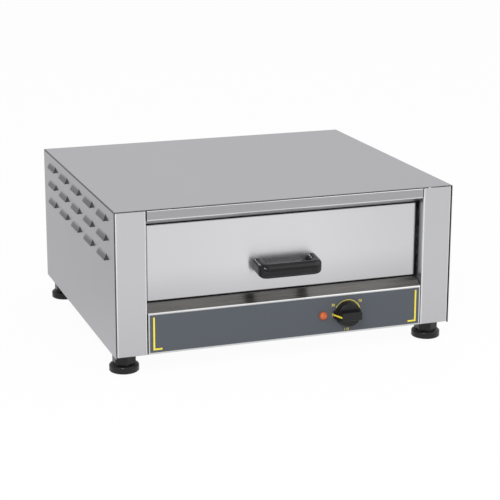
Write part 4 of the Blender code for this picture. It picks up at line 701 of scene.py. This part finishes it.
# %% [markdown]
# The dial is two shapes in one moulding: a turned skirt, like a shallow cup, and a grip that runs
# across it and down over its rim as a nose. A profile spun round an axis gives the skirt. The
# grip is a side view drawn as one face, pushed out to its width and rounded along its edges.

# %% Dial
def turned(profile, axis, centre, steps=64):
    """Spin a profile of (radius, place along the axis) right round, and close its poles."""
    shape = bmesh.new()
    a, b = centre
    spot = {"X": lambda r, t: (t, a + r, b), "Y": lambda r, t: (a + r, t, b), "Z": lambda r, t: (a + r, b, t)}
    middle = {"X": (0, a, b), "Y": (a, 0, b), "Z": (a, b, 0)}
    way = Vector((0, 0, 0))
    way["XYZ".index(axis)] = 1
    points = [shape.verts.new(spot[axis](radius, place)) for radius, place in profile]
    lines = [shape.edges.new(pair) for pair in zip(points, points[1:])]
    bmesh.ops.spin(shape, geom=points + lines, cent=middle[axis], axis=way, angle=2 * pi, steps=steps,
                   use_merge=True)
    bmesh.ops.remove_doubles(shape, verts=shape.verts, dist=1e-6)
    bmesh.ops.recalc_face_normals(shape, faces=shape.faces)
    return shape


def ring_edges(shape, axis, place, radius, centre):
    """The edges of one turned ring, to be rounded."""
    k, a, b = {"X": (0, 1, 2), "Y": (1, 0, 2), "Z": (2, 0, 1)}[axis]
    return [e for e in shape.edges if all(
        abs(v.co[k] - place) < 1e-5
        and abs(((v.co[a] - centre[0]) ** 2 + (v.co[b] - centre[1]) ** 2) ** 0.5 - radius) < 1e-4
        for v in e.verts)]


def add(shape, other):
    """Add another closed shape to a mesh."""
    mesh = bpy.data.meshes.new("added")
    other.to_mesh(mesh)
    other.free()
    shape.from_mesh(mesh)
    return shape


KNOB_RADIUS, KNOB_FACE, KNOB_BACK, KNOB_FRONT = 0.0203, -0.0125, -0.0014, -0.022
GRIP_WIDTH, GRIP_HEEL, GRIP_TOE, GRIP_NOSE = 0.0128, 0.0165, 0.0162, 0.0234


def make_knob():
    dial, rim = (KNOB_X, DIAL_Z), KNOB_RADIUS - 0.0011
    skirt = [(0, KNOB_FACE), (rim, KNOB_FACE), (KNOB_RADIUS, KNOB_BACK), (0, KNOB_BACK)]
    shape = turned(skirt, "Y", dial, 96)
    bevel(shape, ring_edges(shape, "Y", KNOB_FACE, rim, dial), 0.0012, 5)
    sink, nose = KNOB_FACE + 0.001, KNOB_BACK - 0.0006
    side = [(GRIP_HEEL, sink), (GRIP_HEEL, KNOB_FRONT), (-GRIP_TOE, KNOB_FRONT), (-GRIP_NOSE, nose),
            (-KNOB_RADIUS + 0.001, nose), (-GRIP_TOE, sink)]
    grip = plate([(KNOB_X + x, y) for x, y in side], "Z", DIAL_Z - GRIP_WIDTH / 2, DIAL_Z + GRIP_WIDTH / 2)
    bevel(grip, [e for e in grip.edges if any(v.co.y < KNOB_FRONT + 1e-4 for v in e.verts)], 0.0009, 4)
    return add(shape, grip)


satin_black = gloss("satin_black", (0.007, 0.0065, 0.0075), (0.012, 0.0115, 0.0125), (0.24, 0.34),
                    scale=900, strength=0.10, specular=0.35)
piece("dial_knob", make_knob(), satin_black, "knob", "knob", slot="black_satin", angle=40)

# %% [markdown]
# The lamp is a small rim with a faceted amber lens inside it. The rim is turned with a rounded
# lip. The lens is the same kind of turning with only eight steps, which leaves flat facets, and
# it is shaded flat so that each facet catches the light by itself.

# %% Lamp
LAMP_RADIUS, LENS_RADIUS, LAMP_SEAT = 0.0068, 0.0055, -0.0011


def make_lamp_rim():
    spot, inner = (LAMP_X, DIAL_Z), LENS_RADIUS + GAP
    front = LAMP_SEAT - 0.0030
    shape = turned([(0, -0.0021), (inner, -0.0021), (inner, front), (LAMP_RADIUS - 0.0007, front),
                    (LAMP_RADIUS, front + 0.0014), (LAMP_RADIUS, LAMP_SEAT), (0, LAMP_SEAT)], "Y", spot, 48)
    bevel(shape, ring_edges(shape, "Y", front, LAMP_RADIUS - 0.0007, spot), 0.0004, 3)
    return shape


def make_lens():
    spot, back = (LAMP_X, DIAL_Z), -0.0024
    profile = [(0, back), (LENS_RADIUS, back), (LENS_RADIUS, LAMP_SEAT - 0.0030),
               (LENS_RADIUS * 0.72, LAMP_SEAT - 0.0034), (LENS_RADIUS * 0.36, LAMP_SEAT - 0.0036),
               (0, LAMP_SEAT - 0.0036)]
    return turned(profile, "Y", spot, 8)


def make_amber():
    made, nodes, links, shader = new_material("lamp_amber")
    marks = streaks(nodes, links, (420, 420, 420), detail=2.0)
    colour = ramp(nodes, links, marks, (0.36, 0.045, 0.006), (0.66, 0.15, 0.02))
    links.new(colour, shader.inputs["Base Color"])
    shader.inputs["Roughness"].default_value = 0.12
    shader.inputs["Coat Weight"].default_value = 0.6
    shader.inputs["Emission Color"].default_value = (0.9, 0.16, 0.02, 1)
    shader.inputs["Emission Strength"].default_value = 0.06
    bump(nodes, links, shader, marks, 0.2, 0.0001)
    return made


lamp_amber = make_amber()
rim_pale = gloss("lamp_rim", (0.38, 0.08, 0.03), (0.50, 0.13, 0.05), (0.2, 0.3), scale=400)
piece("lamp_rim_ring", make_lamp_rim(), rim_pale, "cabinet", "indicator_housing", slot="lamp_rim")
piece("lamp_lens_facets", make_lens(), lamp_amber, "cabinet", "indicator_lens", slot="lamp_amber", angle=1)

# %% [markdown]
# The overlay is a printed film. Its print is modelled as raised ink, a tenth of a millimetre
# thick: two corner lines, a scale arc that grows thicker clockwise, and plain numbers. The arc is
# a short edge spun round the dial's axis, whose inner points are then moved to make it taper.

# %% Print on the overlay
INK_BACK, INK_FRONT = -0.0008, -0.0009
LINE_X, LINE_TOP, LINE_FOOT, LINE_WIDTH, FOOT_REACH = 0.2138, 0.0595, 0.0094, 0.0026, 0.0125
SCALE_RADIUS, SCALE_START, SCALE_END = 0.0217, 146.7, -10.0


def corner_line(side):
    half = side * LINE_WIDTH / 2
    outline = [(side * LINE_X + half, LINE_FOOT - LINE_WIDTH / 2), (side * LINE_X + half, LINE_TOP),
               (side * LINE_X - half, LINE_TOP), (side * LINE_X - half, LINE_FOOT + LINE_WIDTH / 2),
               (side * (LINE_X - FOOT_REACH), LINE_FOOT + LINE_WIDTH / 2),
               (side * (LINE_X - FOOT_REACH), LINE_FOOT - LINE_WIDTH / 2)]
    return plate(outline, "Y", INK_BACK, INK_FRONT)


def scale_arc():
    start = radians(SCALE_START)
    shape = bmesh.new()
    ends = [shape.verts.new((KNOB_X + r * cos(start), INK_BACK, DIAL_Z + r * sin(start)))
            for r in (SCALE_RADIUS - 0.0001, SCALE_RADIUS + 0.0001)]
    line = shape.edges.new(ends)
    bmesh.ops.spin(shape, geom=ends + [line], cent=(KNOB_X, INK_BACK, DIAL_Z), axis=(0, 1, 0),
                   angle=radians(SCALE_START - SCALE_END), steps=64)
    for vert in shape.verts:
        arm = vert.co - Vector((KNOB_X, INK_BACK, DIAL_Z))
        share = (SCALE_START - atan2(arm.z, arm.x) * 180 / pi) / (SCALE_START - SCALE_END)
        half = 0.00025 + 0.0005 * share
        radius = SCALE_RADIUS + (half if arm.length > SCALE_RADIUS else -half)
        vert.co = Vector((KNOB_X, INK_BACK, DIAL_Z)) + arm.normalized() * radius
    drawn = bmesh.ops.extrude_face_region(shape, geom=shape.faces[:])["geom"]
    bmesh.ops.translate(shape, verts=[v for v in drawn if isinstance(v, bmesh.types.BMVert)],
                        vec=(0, INK_FRONT - INK_BACK, 0))
    bmesh.ops.recalc_face_normals(shape, faces=shape.faces)
    dot = turned([(0, INK_BACK), (0.0010, INK_BACK), (0.0010, INK_FRONT), (0, INK_FRONT)], "Y",
                 (KNOB_X + SCALE_RADIUS * cos(start), DIAL_Z + SCALE_RADIUS * sin(start)), 24)
    return add(shape, dot)


def number(text, x, z, height=0.0042):
    """A plain printed number, centred on a spot of the overlay."""
    curve = bpy.data.curves.new("number", "FONT")
    curve.body, curve.size, curve.extrude = text, height * 1.4, (INK_BACK - INK_FRONT) / 2
    curve.align_x, curve.align_y = "CENTER", "CENTER"
    helper = bpy.data.objects.new("number", curve)
    scene.collection.objects.link(helper)
    mesh = bpy.data.meshes.new_from_object(helper.evaluated_get(bpy.context.evaluated_depsgraph_get()))
    bpy.data.objects.remove(helper)
    shape = bmesh.new()
    shape.from_mesh(mesh)
    bmesh.ops.remove_doubles(shape, verts=shape.verts, dist=1e-7)
    turn = Matrix.Translation((x, (INK_BACK + INK_FRONT) / 2, z)) @ Matrix.Rotation(radians(90), 4, "X")
    bmesh.ops.transform(shape, matrix=turn, verts=shape.verts)
    return shape


print_yellow = gloss("print_yellow", (0.86, 0.70, 0.045), (0.95, 0.80, 0.07), (0.35, 0.45), scale=500)
for side, hand in ((-1, "left"), (1, "right")):
    piece(hand + "_corner_line", corner_line(side), print_yellow, "cabinet", slot="pointer_yellow")
piece("scale_arc", scale_arc(), print_yellow, "cabinet", slot="pointer_yellow")
numbers = ("0", 0.0732, 0.0332), ("30", 0.0735, 0.0488), ("70", 0.1187, 0.0516), ("110", 0.0966, 0.0076)
for text, x, z in numbers:
    piece("number_" + text, number(text, x, z), print_yellow, "cabinet", slot="pointer_yellow")

# %% [markdown]
# The feet are moulded pads with a hexagon neck for a spanner. The pad is turned from a profile
# with a rounded rim and a convex shoulder. The neck is a six-sided prism with broken edges.

# %% Feet
FOOT_RADIUS, PAD_BOTTOM, RIM_TOP, NECK_BOTTOM, NECK_TOP = 0.0227, -0.0307, -0.0222, -0.0186, 0.0004
NECK_FLATS, FOOT_X = 0.032, 0.251
FOOT_Y = {"front": 0.036, "rear": 0.432}


def make_foot(x, y):
    neck = NECK_FLATS / 2
    profile = [(0, PAD_BOTTOM), (FOOT_RADIUS - 0.0012, PAD_BOTTOM), (FOOT_RADIUS, PAD_BOTTOM + 0.0012)]
    for step in range(13):
        turn = step / 12 * pi / 2
        profile.append((neck + (FOOT_RADIUS - neck) * cos(turn),
                        RIM_TOP + (NECK_BOTTOM - RIM_TOP) * sin(turn)))
    shape = turned(profile + [(0, NECK_BOTTOM)], "Z", (x, y), 72)
    corner, turns = neck / cos(pi / 6), [k * pi / 3 + pi / 6 for k in range(6)]
    hexagon = [(x + corner * cos(turn), y + corner * sin(turn)) for turn in turns]
    prism = plate(hexagon, "Z", NECK_BOTTOM - SHEET, NECK_TOP)
    bevel(prism, prism.edges[:], 0.0007, 3)
    return add(shape, prism)


for end, y in FOOT_Y.items():
    for side, hand in ((-1, "left"), (1, "right")):
        name = f"foot_pad_{end}_{hand}"
        piece(f"{end}_{hand}_foot", make_foot(side * FOOT_X, y), satin_black, name, name,
              slot="black_satin", angle=40)

# %% [markdown]
# Behind, the power cord would come in through a gland: a hexagon collar and a domed nut with a
# hole. Four pan-head screws hold the panel. Each head is turned, then a cross is marked on its
# crown with cutting planes, and the faces inside the cross are pushed in.

# %% Gland and rear screws
GLAND_X, GLAND_Z, GLAND_SEAT = 0.175, 0.045, 0.4723
SCREW_X, SCREW_Z = 0.2645, (0.040, 0.1845)


def make_gland():
    spot, bore = (GLAND_X, GLAND_Z), 0.0042
    collar, end = GLAND_SEAT + 0.005, GLAND_SEAT + 0.0157
    start = GLAND_SEAT - 0.0145
    profile = [(bore, start), (0.0078, start), (0.0078, collar), (0.0096, collar)]
    for step in range(9):
        turn = step / 8 * pi / 2
        profile.append((0.0066 + 0.0034 * cos(turn), end - 0.0034 + 0.0034 * sin(turn)))
    profile += [(bore, end), (bore, start)]
    shape = turned(profile, "Y", spot, 48)
    ring = turned([(0.0095, GLAND_SEAT), (0.0119, GLAND_SEAT), (0.0119, collar), (0.0095, collar),
                   (0.0095, GLAND_SEAT)], "Y", spot, 6)
    bevel(ring, [e for e in ring.edges if e.calc_face_angle(0) > 0.5], 0.0005, 2)
    return add(shape, ring)


def make_pan_head(x, y, z, way=1):
    """A pan head that stands off a seat along Y, with a cross recess."""
    profile = [(0, y), (0.0030, y), (0.0030, y + way * 0.0008), (0.0027, y + way * 0.0014),
               (0.0020, y + way * 0.0018), (0.0010, y + way * 0.0020), (0, y + way * 0.0020)]
    shape = turned(profile, "Y", (x, z), 32)
    for across in (-0.00035, 0.00035):
        slice_at(shape, "X", x + across)
        slice_at(shape, "Z", z + across)
    for across in (-0.0018, 0.0018):
        slice_at(shape, "X", x + across)
        slice_at(shape, "Z", z + across)
    cross = []
    for face in shape.faces:
        middle = face.calc_center_median()
        dx, dz = abs(middle.x - x), abs(middle.z - z)
        if (middle.y - y) * way > 0.0012 and min(dx, dz) < 0.00034 and max(dx, dz) < 0.0018:
            cross.append(face)
    drawn = bmesh.ops.extrude_face_region(shape, geom=cross)["geom"]
    bmesh.ops.delete(shape, geom=[f for f in cross if f.is_valid], context="FACES_ONLY")
    bmesh.ops.translate(shape, verts=[v for v in drawn if isinstance(v, bmesh.types.BMVert)],
                        vec=(0, -way * 0.0009, 0))
    bmesh.ops.recalc_face_normals(shape, faces=shape.faces)
    return shape


zinc = brushed("zinc", (0.50, 0.51, 0.53), (0.62, 0.63, 0.64), (120, 120, 120), (0.3, 0.45), 0.1)
piece("gland_body", make_gland(), satin_black, "cabinet", "cable_gland", slot="black_satin", angle=40)
for z, level in zip(SCREW_Z, ("lower", "upper")):
    for side, hand in ((-1, "left"), (1, "right")):
        name = f"rear_screw_{level}_{hand}"
        piece(f"{level}_{hand}_pan_head", make_pan_head(side * SCREW_X, DEPTH + GAP, z), zinc, "cabinet",
              name, slot="zinc_plated", angle=35)

# %% [markdown]
# The tray is an open box of thin steel with rounded folds. It is made like the drawer front: a
# box, one face taken away, the folds rounded, then a wall. Four nylon rollers carry it, turned
# from a short profile round their pins.

# %% Tray and rollers
TRAY_HALF, TRAY_FRONT, TRAY_REAR, TRAY_BOTTOM, TRAY_TOP = 0.2126, 0.0353, 0.4283, 0.083, 0.178
ROLLER_X, ROLLER_Z, ROLLER_RADIUS, ROLLER_HALF = 0.2193, 0.135, 0.0105, 0.0035
ROLLER_Y = {"cabinet": 0.0515, "drawer": 0.4143}


def make_tray():
    shape = box((-TRAY_HALF, TRAY_FRONT, TRAY_BOTTOM), (TRAY_HALF, TRAY_REAR, TRAY_TOP))
    bmesh.ops.delete(shape, geom=[f for f in shape.faces if f.normal.z > 0.9], context="FACES")
    bevel(shape, [e for e in shape.edges if not e.is_boundary], 0.004, 8)
    face_out(shape, (0, 0, -1))
    thicken(shape, SHEET)
    return shape


def make_roller(x, y):
    half, bore = ROLLER_HALF, 0.0023
    rim = ROLLER_RADIUS - 0.0008
    profile = [(bore, x - half), (rim, x - half), (ROLLER_RADIUS, x - half + 0.0008),
               (ROLLER_RADIUS, x + half - 0.0008), (rim, x + half), (bore, x + half), (bore, x - half)]
    return turned(profile, "X", (y, ROLLER_Z), 48)


nylon = gloss("nylon", (0.70, 0.68, 0.62), (0.80, 0.78, 0.72), (0.35, 0.5), scale=300)
piece("tray_pan", make_tray(), tray_steel, "drawer", "drawer_tray", slot="brushed_stainless", angle=40)
for kind, y in ROLLER_Y.items():
    for side, hand in ((-1, "left"), (1, "right")):
        name = f"{kind}_roller_{hand}"
        piece(f"{kind}_{hand}_wheel", make_roller(side * ROLLER_X, y), nylon, name, name,
              slot="nylon", angle=40)

# %% [markdown]
# The solids that are flat, small or hidden stay as they are and get a finish each. Galvanised
# sheet has a spangle of crystals, which a Voronoi pattern gives. Ceramic, brass, copper and the
# leads' sleeves each have their own colour, gloss and small marks.

# %% Finishes for the pieces that stay
def make_galvanised():
    made, nodes, links, shader = new_material("galvanised")
    where, cells = nodes.new("ShaderNodeTexCoord"), nodes.new("ShaderNodeTexVoronoi")
    cells.inputs["Scale"].default_value = 160
    links.new(where.outputs["Object"], cells.inputs["Vector"])
    split = nodes.new("ShaderNodeSeparateColor")
    links.new(cells.outputs["Color"], split.inputs["Color"])
    tone = split.outputs["Red"]
    colour = ramp(nodes, links, tone, (0.46, 0.48, 0.50), (0.60, 0.62, 0.64), 0.0, 1.0)
    links.new(colour, shader.inputs["Base Color"])
    links.new(spread(nodes, links, tone, 0.38, 0.55), shader.inputs["Roughness"])
    shader.inputs["Metallic"].default_value = 1.0
    bump(nodes, links, shader, streaks(nodes, links, (400, 400, 400)), 0.1, 0.00005)
    return made


def make_overlay():
    made, nodes, links, shader = new_material("overlay_film")
    grain = streaks(nodes, links, (1600, 1600, 1600), detail=2.0)
    colour = ramp(nodes, links, grain, (0.079, 0.090, 0.105), (0.088, 0.100, 0.116))
    links.new(colour, shader.inputs["Base Color"])
    links.new(spread(nodes, links, grain, 0.42, 0.52), shader.inputs["Roughness"])
    shader.inputs["IOR"].default_value = 1.4
    bump(nodes, links, shader, grain, 0.15, 0.00005)
    return made


galvanised = make_galvanised()
looks = {
    "brushed_stainless": tray_steel, "galvanised_sheet": galvanised, "zinc_plated": zinc,
    "overlay_print": make_overlay(), "black_gloss": handle_black, "black_satin": satin_black,
    "pointer_yellow": print_yellow, "lamp_amber": lamp_amber, "lamp_rim": rim_pale, "nylon": nylon,
    "ceramic": gloss("ceramic", (0.72, 0.69, 0.62), (0.84, 0.81, 0.74), (0.25, 0.4), scale=250),
    "brass": brushed("brass", (0.62, 0.42, 0.14), (0.74, 0.52, 0.20), (200, 200, 200), (0.25, 0.35), 0.1),
    "element_sheath": brushed("element_sheath", (0.16, 0.14, 0.13), (0.28, 0.25, 0.22), (80, 80, 80),
                              (0.4, 0.6), 0.2),
    "copper_tube": brushed("copper_tube", (0.60, 0.28, 0.16), (0.72, 0.36, 0.22), (150, 150, 150),
                           (0.25, 0.4), 0.1),
    "lead_sleeve": gloss("lead_sleeve", (0.55, 0.53, 0.48), (0.68, 0.66, 0.60), (0.5, 0.7),
                         scale=800, strength=0.3),
}
for row in frame["record"]["subparts"]:
    node = frame["nodes"][row["node"]]
    if not node.hide_render:
        node.data.materials.clear()
        node.data.materials.append(looks[row["material_slot"]])
print("nodes that stay:", sum(not node.hide_render for node in frame["nodes"].values()))
